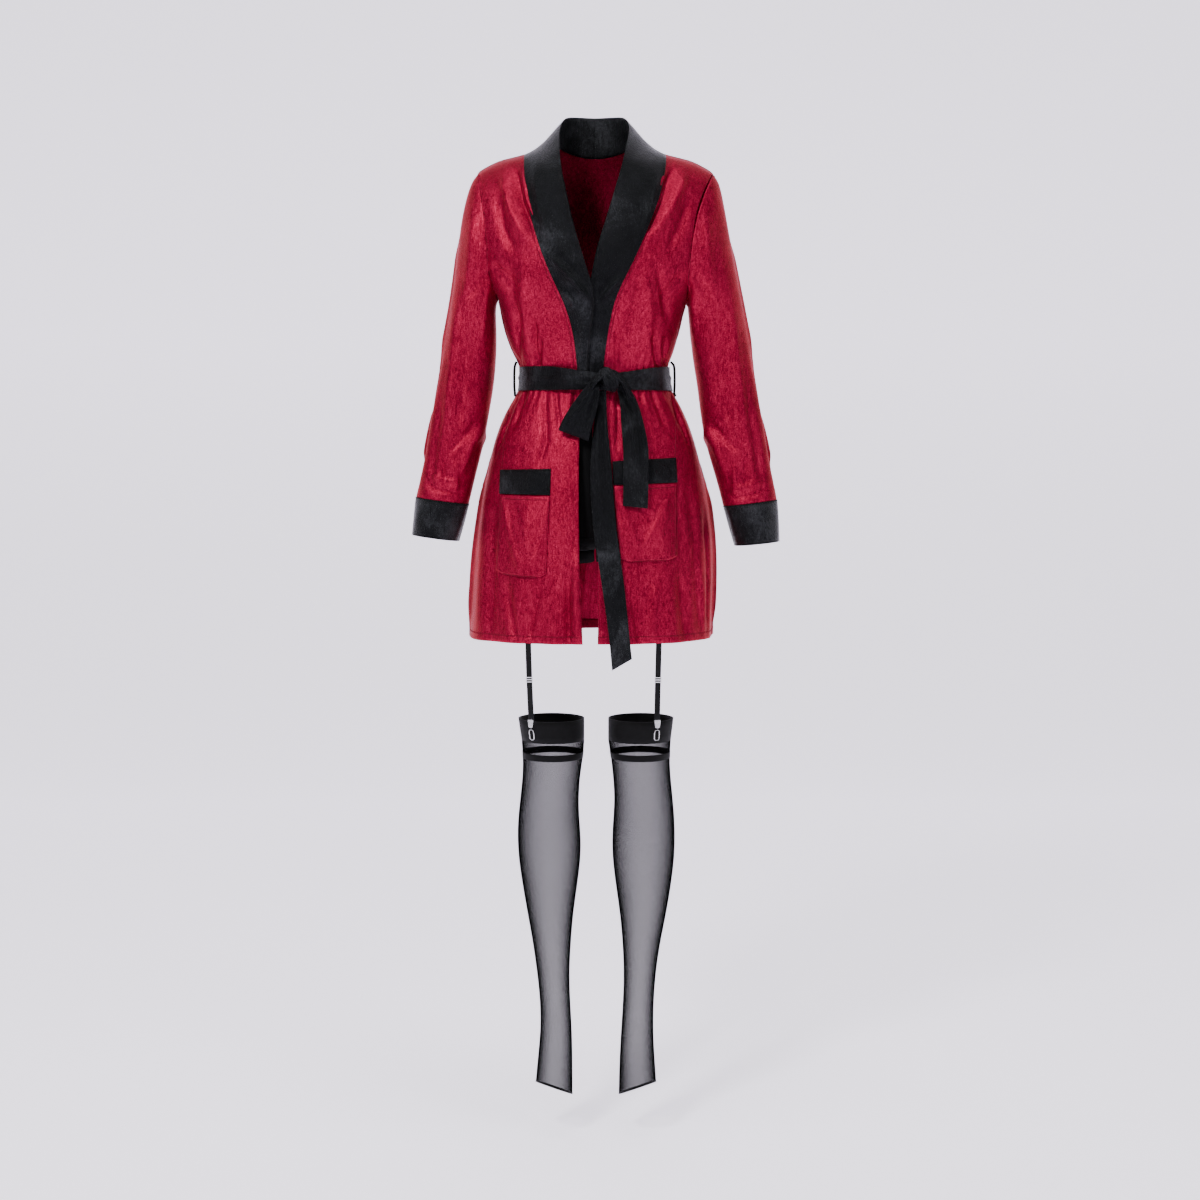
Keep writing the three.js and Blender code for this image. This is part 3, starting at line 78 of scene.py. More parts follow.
def make_camera():
    data = bpy.data.cameras.new("camera")
    data.lens = 65.0
    data.sensor_width = 36.0
    data.clip_end = 50
    camera = bpy.data.objects.new("camera", data)
    camera.location = (0.0073, -3.300, -0.4195)
    camera.rotation_euler = (math.radians(90 - 4.486), 0, 0)
    bpy.context.collection.objects.link(camera)
    bpy.context.scene.camera = camera


def make_studio():
    """A plain pale floor that curves up into a backdrop, and soft lamps round the object."""
    world = bpy.data.worlds.new("studio")
    world.use_nodes = True
    back = world.node_tree.nodes["Background"]
    back.inputs["Color"].default_value = (0.80, 0.79, 0.83, 1)
    back.inputs["Strength"].default_value = 0.16
    bpy.context.scene.world = world
    verts, faces = [], []
    profile = [(-STUDIO_REACH, 0.0), (BEND_Y, 0.0)]
    for k in range(1, BEND_STEPS + 1):
        turn = k / BEND_STEPS * math.pi / 2
        profile.append((BEND_Y + BEND * math.sin(turn), BEND - BEND * math.cos(turn)))
    profile.append((BEND_Y + BEND, STUDIO_HEIGHT))
    for y, z in profile:
        verts += [(-STUDIO_REACH, y, FLOOR_Z + z), (STUDIO_REACH, y, FLOOR_Z + z)]
    for i in range(len(profile) - 1):
        a = 2 * i
        faces.append((a, a + 1, a + 3, a + 2))
    mesh = bpy.data.meshes.new("floor")
    mesh.from_pydata(verts, [], faces)
    for polygon in mesh.polygons:
        polygon.use_smooth = True
    floor = bpy.data.objects.new("floor", mesh)
    bpy.context.collection.objects.link(floor)
    mesh.materials.append(plain("floor", (0.905, 0.862, 0.965), 0.85, 1.30))
    area_lamp("key", (-1.3, -2.6, 1.7), (0, 0, -0.35), (0.55, 0.55), 112)
    area_lamp("fill", (2.0, -2.3, 0.7), (0, 0, -0.5), (0.8, 1.6), 22)
    area_lamp("top", (0.1, -0.6, 2.2), (0, 0, -0.4), (1.2, 0.8), 40)
    area_lamp("rim_right", (-1.9, 0.9, 0.2), (0, 0, -0.4), (0.6, 2.2), 4)
    area_lamp("rim_left", (1.9, 0.9, 0.2), (0, 0, -0.4), (0.6, 2.2), 4)


# Materials.


class Graph:
    """A short way to write a material's nodes."""

    def __init__(self, name):
        self.material = bpy.data.materials.new(name)
        self.material.use_nodes = True
        self.tree = self.material.node_tree
        self.shader = self.tree.nodes["Principled BSDF"]
        self.place = self.add("ShaderNodeTexCoord").outputs["Object"]

    def add(self, kind, **values):
        node = self.tree.nodes.new(kind)
        for key, value in values.items():
            setattr(node, key, value)
        return node

    def link(self, source, target):
        self.tree.links.new(source, target)

    def stretched(self, scale, turn=(0, 0, 0)):
        node = self.add("ShaderNodeMapping")
        node.inputs["Scale"].default_value = scale
        node.inputs["Rotation"].default_value = turn
        self.link(self.place, node.inputs["Vector"])
        return node.outputs["Vector"]

    def noise(self, scale, detail=2.0, rough=0.5, distortion=0.0, vector=None):
        node = self.add("ShaderNodeTexNoise")
        node.inputs["Scale"].default_value = scale
        node.inputs["Detail"].default_value = detail
        node.inputs["Roughness"].default_value = rough
        node.inputs["Distortion"].default_value = distortion
        self.link(self.place if vector is None else vector, node.inputs["Vector"])
        return node.outputs["Fac"]

    def sum(self, parts):
        """Weighted sum of values: a list of (socket, weight)."""
        total = None
        for socket, weight in parts:
            node = self.add("ShaderNodeMath", operation="MULTIPLY_ADD")
            node.inputs[1].default_value = weight
            self.link(socket, node.inputs[0])
            if total is None:
                node.inputs[2].default_value = 0.0
            else:
                self.link(total, node.inputs[2])
            total = node.outputs["Value"]
        return total

    def ramp(self, socket, stops):
        node = self.add("ShaderNodeValToRGB")
        elements = node.color_ramp.elements
        while len(elements) < len(stops):
            elements.new(0.5)
        for element, (position, colour) in zip(elements, stops):
            element.position = position
            element.color = (*colour, 1)
        self.link(socket, node.inputs["Fac"])
        return node.outputs["Color"]

    def bump(self, parts):
        """Bumps laid over each other: a list of (socket, height in mm)."""
        last = None
        for socket, height in parts:
            node = self.add("ShaderNodeBump")
            node.inputs["Strength"].default_value = 1.0
            node.inputs["Distance"].default_value = height * MM
            self.link(socket, node.inputs["Height"])
            if last is not None:
                self.link(last, node.inputs["Normal"])
            last = node.outputs["Normal"]
        self.link(last, self.shader.inputs["Normal"])

    def put(self, **values):
        for key, value in values.items():
            self.shader.inputs[key.replace("_", " ")].default_value = value


def plain(name, colour, rough, glow):
    """The floor's material, with a very faint mottle, lit evenly by a glow of its own."""
    g = Graph(name)
    tone = g.noise(0.8, 3)
    low = tuple(0.97 * c for c in colour)
    g.link(g.ramp(tone, [(0.3, low), (0.7, colour)]), g.shader.inputs["Base Color"])
    g.put(Roughness=rough, Emission_Color=(*colour, 1), Emission_Strength=glow)
    return g.material


def velour(name, dark, middle, light, sheen, sheen_weight, mottle, gloss, satin, level=0.12, nap=1.0):
    """Velour: upright streaks of nap, a crushed grain, a soft sheen and fine pile. The streaks, the grain
    and the cloud lighten and darken the colour: partly the nap's own tone, partly painted sheen and
    highlight.
    """
    g = Graph(name)
    streak = g.noise(1.0, 4, 0.6, 1.4, g.stretched((330, 330, 75)))
    crush = g.noise(330, 3, 0.6, 2.0)
    cloud = g.noise(14, 3, 0.55, 0.6)
    pile = g.noise(1500, 2, 0.6)
    # The tone runs the streaks, grain and cloud through the colour ramp: painted sheen and highlight
    # streaks, partly the nap's own tone. The same noises also make real bumps.
    tone = g.sum([(streak, 0.44 - mottle / 2), (crush, 0.56 - mottle / 2), (cloud, mottle)])
    colour = g.ramp(tone, [(0.38, dark), (0.5, middle), (0.62, light)])
    g.link(colour, g.shader.inputs["Base Color"])
    g.bump([(cloud, 1.2 * nap), (streak, 0.6 * nap), (crush, 0.5 * nap), (pile, 0.12)])
    g.put(Roughness=gloss, Specular_IOR_Level=level, Specular_Tint=(*sheen, 1), Metallic=satin)
    g.put(Sheen_Weight=sheen_weight, Sheen_Roughness=0.30, Sheen_Tint=(*sheen, 1))
    return g.material


def knit(name, dark, light, rib, sheen_weight=0.25, rough=0.75, height=0.18, tint=(0.8, 0.8, 0.85)):
    """Jersey, elastic or a dense knit: fine upright ribs and a soft mottle."""
    g = Graph(name)
    ribs = g.add("ShaderNodeTexWave", wave_type="BANDS", bands_direction="X")
    ribs.inputs["Scale"].default_value = rib
    ribs.inputs["Distortion"].default_value = 0.5
    ribs.inputs["Detail"].default_value = 1
    g.link(g.place, ribs.inputs["Vector"])
    mottle = g.noise(90, 4, 0.6)
    loops = g.noise(900, 2)
    tone = g.sum([(ribs.outputs["Fac"], 0.35), (mottle, 0.45), (loops, 0.2)])
    g.link(g.ramp(tone, [(0.3, dark), (0.75, light)]), g.shader.inputs["Base Color"])
    g.bump([(mottle, 0.5), (ribs.outputs["Fac"], height), (loops, 0.08)])
    g.put(Roughness=rough, Specular_IOR_Level=0.15)
    g.put(Sheen_Weight=sheen_weight, Sheen_Roughness=0.4, Sheen_Tint=(*tint, 1))
    return g.material


def sheer(name):
    """Sheer knit: a thin wall that lets most light by, with a faint upright grain."""
    g = Graph(name)
    grain = g.noise(1.0, 3, 0.6, 0.2, g.stretched((500, 500, 40)))
    loops = g.noise(1200, 2)
    tone = g.sum([(grain, 0.6), (loops, 0.4)])
    colour = g.ramp(tone, [(0.3, (0.004, 0.004, 0.0045)), (0.75, (0.016, 0.016, 0.018))])
    g.link(colour, g.shader.inputs["Base Color"])
    g.put(Roughness=0.6, Alpha=0.09, Specular_IOR_Level=0.1)
    fog = g.add("ShaderNodeVolumeAbsorption")
    fog.inputs["Color"].default_value = (0.02, 0.02, 0.022, 1)
    fog.inputs["Density"].default_value = 540
    out = g.tree.nodes["Material Output"]
    g.link(fog.outputs["Volume"], out.inputs["Volume"])
    return g.material


def metal(name):
    """Polished plated metal with faint scuffs."""
    g = Graph(name)
    scuff = g.noise(700, 4, 0.6)
    wear = g.noise(220, 3)
    colour = g.ramp(wear, [(0.3, (0.62, 0.62, 0.63)), (0.7, (0.80, 0.80, 0.81))])
    g.link(colour, g.shader.inputs["Base Color"])
    gloss = g.ramp(scuff, [(0.3, (0.16, 0.16, 0.16)), (0.8, (0.32, 0.32, 0.32))])
    g.link(gloss, g.shader.inputs["Roughness"])
    g.bump([(scuff, 0.02)])
    g.put(Metallic=1.0)
    return g.material


def rubber(name):
    g = Graph(name)
    grain = g.noise(1400, 3)
    colour = g.ramp(grain, [(0.3, (0.004, 0.004, 0.004)), (0.7, (0.010, 0.010, 0.010))])
    g.link(colour, g.shader.inputs["Base Color"])
    g.bump([(grain, 0.03)])
    g.put(Roughness=0.42)
    return g.material


CRIMSON = velour(
    "crimson_velour",
    dark=(0.100, 0.0020, 0.010),
    middle=(0.245, 0.0056, 0.028),
    light=(0.450, 0.0160, 0.062),
    sheen=(1.0, 0.11, 0.21),
    sheen_weight=0.09,
    mottle=0.12,
    gloss=0.36,
    satin=0.58,
)
INSIDE = velour(
    "crimson_hem",
    dark=(0.044, 0.0004, 0.0045),
    middle=(0.098, 0.0010, 0.0085),
    light=(0.170, 0.0028, 0.0170),
    sheen=(1.0, 0.06, 0.17),
    sheen_weight=0.15,
    mottle=0.10,
    gloss=0.55,
    satin=0.2,
)
# Black velour: its light stop and large cloud share paint mottled highlights into the colour, grey patches
# that stand in for sheen on the collar, sash and cuffs.
BLACK = velour(
    "black_velour",
    dark=(0.0004, 0.0004, 0.0005),
    middle=(0.0022, 0.0023, 0.0026),
    light=(0.0300, 0.0310, 0.0345),
    sheen=(0.55, 0.57, 0.64),
    sheen_weight=0.025,
    mottle=0.46,
    gloss=0.30,
    satin=0.0,
    level=0.17,
    nap=2.6,
)
JERSEY = knit("black_jersey", (0.0008, 0.0008, 0.0010), (0.0040, 0.0040, 0.0048), 300, 0.02, 0.9)
ELASTIC = knit("black_elastic", (0.0015, 0.0015, 0.0018), (0.0095, 0.0095, 0.0105), 420, 0.15, 0.6, 0.25)
DENSE = knit("black_dense_knit", (0.0006, 0.0006, 0.0008), (0.0036, 0.0036, 0.0042), 260, 0.03)
SHEER = sheer("black_sheer_knit")
SILVER = metal("silver_metal")
RUBBER = rubber("black_rubber")
# Darker crimson thread for the stitches. On the seam cords the same darker colour is painted shade along
# the seam lines and grooves.
RED_THREAD_AND_SEAM_SHADE = knit(
    "crimson_thread_and_seam_shade", (0.085, 0.0010, 0.009), (0.190, 0.0030, 0.022), 700, 0.05, 0.9, tint=(1.0, 0.05, 0.15)
)
THREAD_BLACK = knit("black_thread", (0.0006, 0.0006, 0.0008), (0.0045, 0.0045, 0.0052), 700, 0.05)

# Soft troughs and ridges.


def smooth(t):
    t = np.clip(t, 0, 1)
    return t * t * (3 - 2 * t)


def fold(a, z, path, width, height):
    """A soft ridge, or a trough below 0, along a path in a plane. It fades towards both ends."""
    path = np.array(path, float)
    lengths = np.linalg.norm(np.diff(path, axis=0), axis=1)
    starts = np.concatenate([[0], np.cumsum(lengths)])
    nearest = np.full(len(a), 1e9)
    along = np.zeros(len(a))
    for i, length in enumerate(lengths):
        step = (path[i + 1] - path[i]) / length
        at = np.clip((a - path[i, 0]) * step[0] + (z - path[i, 1]) * step[1], 0, length)
        off = np.hypot(a - path[i, 0] - at * step[0], z - path[i, 1] - at * step[1])
        closer = off < nearest
        nearest = np.where(closer, off, nearest)
        along = np.where(closer, (starts[i] + at) / starts[-1], along)
    fade = smooth(along / 0.22) * smooth((1 - along) / 0.22) * 0.8 + 0.2
    return height * fade * np.exp(-((nearest / width) ** 2))


FOLD_GAIN = 3.0  # the tables' heights are multiplied by this
FAINT = 0.02  # in mm, a height that doesn't show


def folds(points, outward, rows):
    """The sum of the rows that lie on each point's face: front, back, or the side towards +X or -X."""
    x, y, z = points.T / MM
    facing = {
        "front": smooth((-outward[:, 1] - 0.05) / 0.3),
        "back": smooth((outward[:, 1] - 0.05) / 0.3),
        "plus": smooth((outward[:, 0] - 0.25) / 0.35),
        "minus": smooth((-outward[:, 0] - 0.25) / 0.35),
    }
    total = np.zeros(len(x))
    for face, path, width, height in rows:
        across = x if face in ("front", "back") else y
        total += facing[face] * fold(across, z, path, width, height)
    return total * FOLD_GAIN


def on(face, rows):
    """Rows of creases, all on one face: a path, its width and its height."""
    return [(face, *row) for row in rows]


ROBE_FRONT = on("front", [
    ([(-90, -256), (-90, -295), (-87, -332)], 4, -2.2),
    ([(-81, -281), (-85, -332)], 3.5, -1.5),
    ([(-117, -230), (-116, -281), (-114, -330)], 5, -1.5),
    ([(-127, -174), (-123, -230), (-110, -288)], 7, -1.6),
    ([(-104, -174), (-106, -230), (-101, -295)], 7, 1.2),
    ([(87, -273), (91, -302), (97, -330)], 4, -2.4),
    ([(104, -281), (106, -330)], 3.5, -2.0),
    ([(32, -266), (32, -335)], 4, -1.4),
    ([(66, -186), (60, -230), (44, -281)], 6, -1.3),
    ([(91, -179), (100, -215), (107, -259)], 6, -1.4),
    ([(75, -193), (81, -244), (78, -295)], 7, 1.2),
    ([(-136, -36), (-122, -96), (-96, -150)], 8, 2.2),
    ([(-121, -30), (-108, -86), (-84, -140)], 6, -2.2),
    ([(-107, -34), (-98, -84), (-82, -126)], 6, 1.6),
    ([(-143, -80), (-136, -124), (-118, -160)], 7, -1.6),
    ([(134, -34), (112, -92), (76, -148)], 8, 2.2),
    ([(118, -30), (98, -84), (66, -136)], 6, -2.2),
    ([(104, -30), (88, -76), (62, -118)], 6, 1.6),
    ([(141, -78), (128, -118), (106, -158)], 7, -1.6),
    ([(-154, -174), (-135, -189), (-114, -215)], 5, -1.4),
    ([(132, -189), (116, -203), (98, -227)], 5, -1.4),
    ([(-101, -352), (-109, -376), (-122, -417)], 4, -1.5),
    ([(-72, -352), (-75, -383), (-72, -434), (-86, -478)], 5, -1.3),
    ([(-60, -352), (-57, -378), (-52, -420)], 3.5, -1.0),
    ([(-29, -352), (-32, -390), (-35, -434)], 4, -1.1),
    ([(-113, -354), (-128, -381), (-138, -420)], 4, -1.5),
    ([(81, -352), (90, -378), (107, -420)], 4, -1.3),
    ([(68, -354), (69, -381)], 3, -1.5),
    ([(54, -352), (57, -405), (66, -452)], 5, -1.6),
    ([(107, -352), (118, -378), (131, -420)], 4, -1.6),
    ([(32, -354), (34, -405), (32, -456)], 4, -1.4),
    ([(-25, -589), (-28, -671), (-21, -740)], 7, 2.4),
    ([(-40, -633), (-39, -740)], 5, -2.0),
    ([(-133, -647), (-116, -735)], 6, -1.6),
    ([(-82, -647), (-101, -735)], 6, -1.6),
    ([(-158, -478), (-169, -596), (-175, -735)], 8, 1.1),
    ([(-151, -523), (-156, -735)], 6, -1.2),
    ([(137, -486), (152, -611), (160, -735)], 7, -1.3),
    ([(151, -582), (169, -735)], 6, 1.0),
    ([(89, -641), (81, -735)], 8, 1.8),
    ([(55, -659), (67, -735)], 6, -1.6),
    ([(126, -633), (135, -735)], 7, -1.6),
])

ROBE_SIDES = on("plus", [
    ([(-20, -240), (-8, -285), (-4, -330)], 6, -1.8),
    ([(28, -250), (18, -290), (14, -330)], 7, -1.8),
    ([(-22, -352), (-36, -400), (-44, -450)], 6, -1.8),
    ([(18, -352), (30, -400), (40, -460)], 6, -2.0),
    ([(0, -480), (6, -600), (4, -735)], 9, 2.2),
    ([(46, -560), (54, -735)], 9, -2.0),
    ([(-46, -540), (-52, -735)], 8, -1.8),
]) + on("minus", [
    ([(-18, -236), (-10, -280), (-6, -330)], 6, -1.8),
    ([(30, -245), (20, -290), (12, -330)], 7, -1.8),
    ([(-20, -352), (-34, -404), (-40, -455)], 6, -1.8),
    ([(22, -352), (34, -404), (44, -470)], 6, -2.0),
    ([(2, -470), (-4, -600), (0, -735)], 9, 2.2),
    ([(50, -570), (58, -735)], 9, -2.0),
])

ROBE_BACK = on("back", [
    ([(-96, -60), (-84, -130), (-60, -200)], 11, -1.9),
    ([(98, -66), (84, -140), (64, -206)], 11, -1.9),
    ([(-126, -120), (-108, -190), (-98, -250)], 9, 1.6),
    ([(122, -126), (108, -190), (96, -256)], 9, 1.6),
    ([(-14, -250), (-12, -295), (-10, -332)], 5, -2.2),
    ([(16, -262), (15, -300), (13, -332)], 4.5, -2.0),
    ([(-52, -245), (-48, -290), (-44, -332)], 5, -2.3),
    ([(50, -240), (47, -290), (42, -332)], 5, -2.2),
    ([(-84, -258), (-78, -332)], 5, -2.0),
    ([(86, -252), (79, -332)], 5, -2.1),
    ([(-4, -352), (-5, -400), (-8, -470)], 6, 1.1),
    ([(-34, -352), (-40, -400), (-48, -470)], 6, 1.2),
    ([(30, -352), (36, -398), (42, -460)], 6, 1.1),
    ([(-66, -352), (-80, -400), (-94, -460)], 7, 1.2),
    ([(64, -352), (78, -400), (90, -470)], 7, 1.2),
    ([(-94, -352), (-118, -404), (-130, -450)], 6, -1.2),
    ([(92, -352), (116, -400), (130, -456)], 6, -1.2),
    ([(-20, -560), (-14, -650), (-18, -740)], 10, 2.4),
    ([(24, -540), (32, -640), (30, -740)], 9, -2.2),
    ([(-64, -520), (-72, -640), (-70, -740)], 10, -2.3),
    ([(78, -540), (88, -650), (92, -740)], 10, 2.3),
    ([(-112, -540), (-124, -650), (-128, -740)], 9, 2.2),
    ([(128, -560), (140, -740)], 9, -2.1),
    ([(-148, -600), (-158, -740)], 7, -1.8),
])

POCKET_FOLDS = on("front", [
    ([(-138, -522), (-125, -581), (-109, -630)], 4, 0.8),
    ([(-68, -525), (-80, -588), (-97, -631)], 4, 0.9),
    ([(-119, -525), (-105, -596)], 4.5, -0.35),
    ([(-87, -525), (-96, -588)], 4.5, -0.35),
    ([(35, -516), (51, -559), (66, -593)], 4, 1.0),
    ([(115, -507), (97, -544), (69, -596)], 4, 0.9),
    ([(60, -508), (74, -532), (90, -544)], 4, 1.2),
    ([(110, -534), (90, -581)], 4, 1.0),
    ([(34, -551), (49, -596)], 4, 1.0),
])

COLLAR_FOLDS = on("front", [
    ([(-68, -164), (-36, -198), (-7, -233)], 4, 2.2),
    ([(-63, -158), (-31, -184), (-7, -216)], 4, -0.5),
    ([(-73, -175), (-44, -216), (-15, -248)], 5, -0.5),
    ([(-51, -213), (-29, -238)], 4, 1.4),
    ([(9, -233), (25, -213), (39, -198)], 4, 2.0),
    ([(7, -220), (23, -198), (34, -184)], 4, -0.5),
    ([(12, -248), (29, -230)], 3.5, -0.5),
    ([(-18, -262), (-18, -296), (-18, -335)], 4, 0.8),
    ([(-90, -43), (-83, -93), (-68, -136)], 6, 1.2),
    ([(92, -46), (83, -93), (70, -132)], 6, 1.2),
])

SHORTS_FOLDS = on("front", [
    ([(-14, -440), (-15, -500), (-14, -570)], 3, 1.6),
    ([(-7, -450), (-7, -570)], 2.5, -1.0),
    ([(-40, -440), (-60, -500), (-80, -540)], 6, -1.2),
    ([(40, -440), (60, -500), (80, -540)], 6, -1.2),
]) + on("back", [
    ([(-50, -470), (-64, -540)], 7, -1.2),
    ([(50, -470), (66, -540)], 7, -1.2),
])

SASH_FOLDS = on("front", [
    ([(-100, -340), (-60, -345), (-20, -348)], 3.5, 0.5),
    ([(-60, -335), (-20, -341), (6, -344)], 3, 0.6),
    ([(-40, -353), (-10, -353), (8, -350)], 2.5, 0.6),
    ([(34, -342), (60, -338), (90, -334)], 3, 0.6),
    ([(34, -349), (60, -350), (88, -352)], 3, 0.5),
]) + on("back", [
    ([(-70, -338), (-10, -341), (40, -338)], 3.5, 0.6),
    ([(-30, -350), (30, -352), (80, -349)], 3, 0.5),
]) + on("plus", [
    ([(-30, -340), (10, -342), (40, -339)], 3, 0.5),
]) + on("minus", [
    ([(-30, -342), (10, -340), (40, -343)], 3, 0.5),
])

LOOP_FOLDS = on("front", [
    ([(0, -358), (-10, -380), (-22, -404)], 2.6, 1.1),
    ([(3, -360), (-4, -384), (-12, -408)], 2.2, -0.9),
    ([(-4, -357), (-20, -382), (-38, -404)], 2.4, 0.9),
    ([(-2, -362), (-14, -386), (-28, -412)], 2.0, -0.7),
])

TAIL_FOLDS = on("front", [
    ([(10, -362), (4, -400), (4, -470), (12, -560)], 4.5, 0.8),
    ([(4, -366), (-2, -400), (-4, -450)], 2.6, -0.7),
    ([(14, -380), (14, -440), (20, -520)], 3, -0.6),
    ([(32, -362), (48, -390), (58, -430), (62, -480)], 4.0, 1.2),
    ([(28, -364), (40, -392), (46, -420)], 2.4, -0.9),
    ([(38, -360), (56, -386), (68, -420), (72, -470)], 2.6, -0.8),
])

SLEEVE_FOLDS = {
    "right": on("front", [
        ([(-157, -170), (-173, -202), (-194, -226)], 5, -1.4),
        ([(-154, -189), (-163, -226), (-169, -285)], 5, 1.4),
        ([(-167, -412), (-186, -443), (-203, -485)], 6, 1.8),
        ([(-173, -405), (-195, -428), (-218, -452)], 5, -1.4),
        ([(-206, -226), (-214, -330), (-224, -420)], 8, 1.4),
        ([(-191, -270), (-196, -360), (-206, -420)], 7, -1.3),
        ([(-183, -100), (-187, -167), (-193, -226)], 7, 1.3),
        ([(-231, -375), (-242, -449), (-248, -506)], 7, -1.3),
        ([(-259, -497), (-236, -508), (-194, -514)], 3.5, -1.4),
        ([(-251, -485), (-224, -496), (-200, -500)], 3.5, 1.1),
        ([(-227, -457), (-224, -509)], 4, -1.2),
        ([(-209, -464), (-208, -515)], 4, 1.0),
    ]) + on("minus", [
        ([(10, -120), (4, -220), (-6, -320)], 8, 1.5),
        ([(-16, -300), (-10, -400), (-14, -500)], 8, -1.5),
        ([(14, -380), (2, -430), (-10, -470)], 6, 1.6),
    ]),
    "left": on("front", [
        ([(140, -170), (154, -202), (175, -229)], 5, -1.4),
        ([(139, -193), (146, -233), (152, -293)], 5, 1.4),
        ([(160, -412), (181, -443), (198, -488)], 6, 1.8),
        ([(169, -405), (193, -431), (214, -452)], 5, -1.4),
        ([(203, -226), (212, -330), (223, -420)], 8, 1.4),
        ([(184, -270), (190, -360), (201, -420)], 7, -1.3),
        ([(165, -100), (168, -167), (176, -226)], 7, 1.3),
        ([(229, -375), (243, -449), (251, -506)], 7, -1.3),
        ([(264, -503), (236, -515), (200, -524)], 3.5, -1.4),
        ([(257, -491), (230, -503), (206, -508)], 3.5, 1.1),
        ([(227, -461), (225, -512)], 4, -1.2),
        ([(209, -470), (209, -521)], 4, 1.0),
    ]) + on("plus", [
        ([(12, -124), (4, -224), (-4, -320)], 8, 1.5),
        ([(-14, -310), (-10, -400), (-16, -500)], 8, -1.5),
        ([(16, -384), (2, -436), (-8, -474)], 6, 1.6),
    ]),
}
for side in SIDES:
    SLEEVE_FOLDS[side] += [
        ("back", [(a + 2, z - 7) for a, z in path], width * 1.1, height)
        for face, path, width, height in SLEEVE_FOLDS[side]
        if face == "front"
    ]

# Cloth pieces.


def quad_copy(node):
    """A CAD node's mesh as a bmesh of quads, its sharp edges marked to stay where they are."""
    bm = bmesh.new()
    bm.from_mesh(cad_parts[node].data)
    bmesh.ops.remove_doubles(bm, verts=bm.verts, dist=2e-6)
    bmesh.ops.join_triangles(
        bm,
        faces=bm.faces,
        angle_face_threshold=math.radians(50),
        angle_shape_threshold=math.radians(70),
    )
    hold = bm.edges.layers.float.new("crease_edge")
    for edge in bm.edges:
        if len(edge.link_faces) == 2 and edge.calc_face_angle(0) > math.radians(48):
            edge[hold] = 1.0
    return bm


def new_object(name, mesh, material):
    obj = bpy.data.objects.new(name, mesh)
    bpy.context.collection.objects.link(obj)
    mesh.materials.clear()
    mesh.materials.append(material)
    for polygon in mesh.polygons:
        polygon.use_smooth = True
    return obj


def normals_of(mesh):
    n = np.empty(len(mesh.vertices) * 3, np.float32)
    mesh.vertex_normals.foreach_get("vector", n)
    return n.reshape(-1, 3).astype(float)


def positions(mesh):
    co = np.empty(len(mesh.vertices) * 3)
    mesh.vertices.foreach_get("co", co)
    return co.reshape(-1, 3)


SEAM_FADE = 0.016  # creases die out this near to a seam, in metres
SEWN_WITHIN = 1.3  # two pieces are sewn together where their CAD walls are this near


def walls_of(nodes):
    """The CAD walls of some nodes, as a tree to measure distances to."""
    verts, faces = [], []
    for node in nodes:
        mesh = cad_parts[node].data
        start = len(verts)
        verts += [tuple(v.co) for v in mesh.vertices]
        faces += [tuple(start + i for i in p.vertices) for p in mesh.polygons]
    return BVHTree.FromPolygons(verts, faces)


def seam_tree(node, others):
    """Points along the edges where a node is sewn to others, 2 mm apart, as a tree to search."""
    walls = walls_of(others)
    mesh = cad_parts[node].data
    sewn = [walls.find_nearest(v.co)[3] < SEWN_WITHIN * MM for v in mesh.vertices]
    spots = [v.co for v, near in zip(mesh.vertices, sewn) if near]
    for edge in mesh.edges:
        i, j = edge.vertices
        if sewn[i] and sewn[j]:
            start, end = mesh.vertices[i].co, mesh.vertices[j].co
            steps = max(1, int((end - start).length / 0.002))
            spots += [start.lerp(end, k / steps) for k in range(1, steps)]
    tree = KDTree(len(spots))
    for k, spot in enumerate(spots):
        tree.insert(spot, k)
    tree.balance()
    return tree


CLEAR = 0.8  # a crease stays this far from the cloth under it
WALL = 1.9  # and the outside of its wall this much further
UNDER_REACH = 0.02  # in metres


def clear_of(under, co, normals, direction, height):
    """Inward creases, in mm, made shallower where they would reach the cloth under them."""
    walls = walls_of(under)
    for k in np.nonzero(height < -FAINT)[0]:
        room = walls.ray_cast(Vector(co[k]), Vector(-direction[k]), UNDER_REACH)[3]
        if room is not None:
            margin = CLEAR + (WALL if np.dot(normals[k], direction[k]) > 0 else 0)
            height[k] = max(height[k], min(0, margin - room / MM))
    return height


def cloth(node, material, levels, outward, rows=(), extra=None, sewn_to=(), full=SEAM_FILL, under=()):
    """A thin shell on a CAD node's form, its creases laid on it. It stands for the node."""
    bm = quad_copy(node)
    mesh = bpy.data.meshes.new(node + "_cloth")
    bm.to_mesh(mesh)
    bm.free()
    obj = new_object(node + "_cloth", mesh, material)
    finer = obj.modifiers.new("finer", "SUBSURF")
    finer.levels = levels
    finer.render_levels = levels
    graph = bpy.context.evaluated_depsgraph_get()
    fine = bpy.data.meshes.new_from_object(obj.evaluated_get(graph))
    obj.modifiers.clear()
    obj.data = fine
    bpy.data.meshes.remove(mesh)
    co = positions(fine)
    direction = outward(co)
    height = np.zeros(len(co))
    if rows:
        height += folds(co, direction, rows)
    if extra is not None:
        height += extra(co, direction)
    if sewn_to:
        tree = seam_tree(node, sewn_to)
        for k in np.nonzero(np.abs(height) > FAINT)[0]:
            height[k] *= float(smooth(tree.find(co[k])[2] / SEAM_FADE))
    if under:
        height = clear_of(under, co, normals_of(fine), direction, height)
    fullness = normals_of(fine) * (full * MM)
    co = co + direction * (height * MM)[:, None] + fullness
    fine.vertices.foreach_set("co", co.ravel())
    fine.update()
    for polygon in fine.polygons:
        polygon.use_smooth = True
    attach(obj, "root")
    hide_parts(node)
    return obj


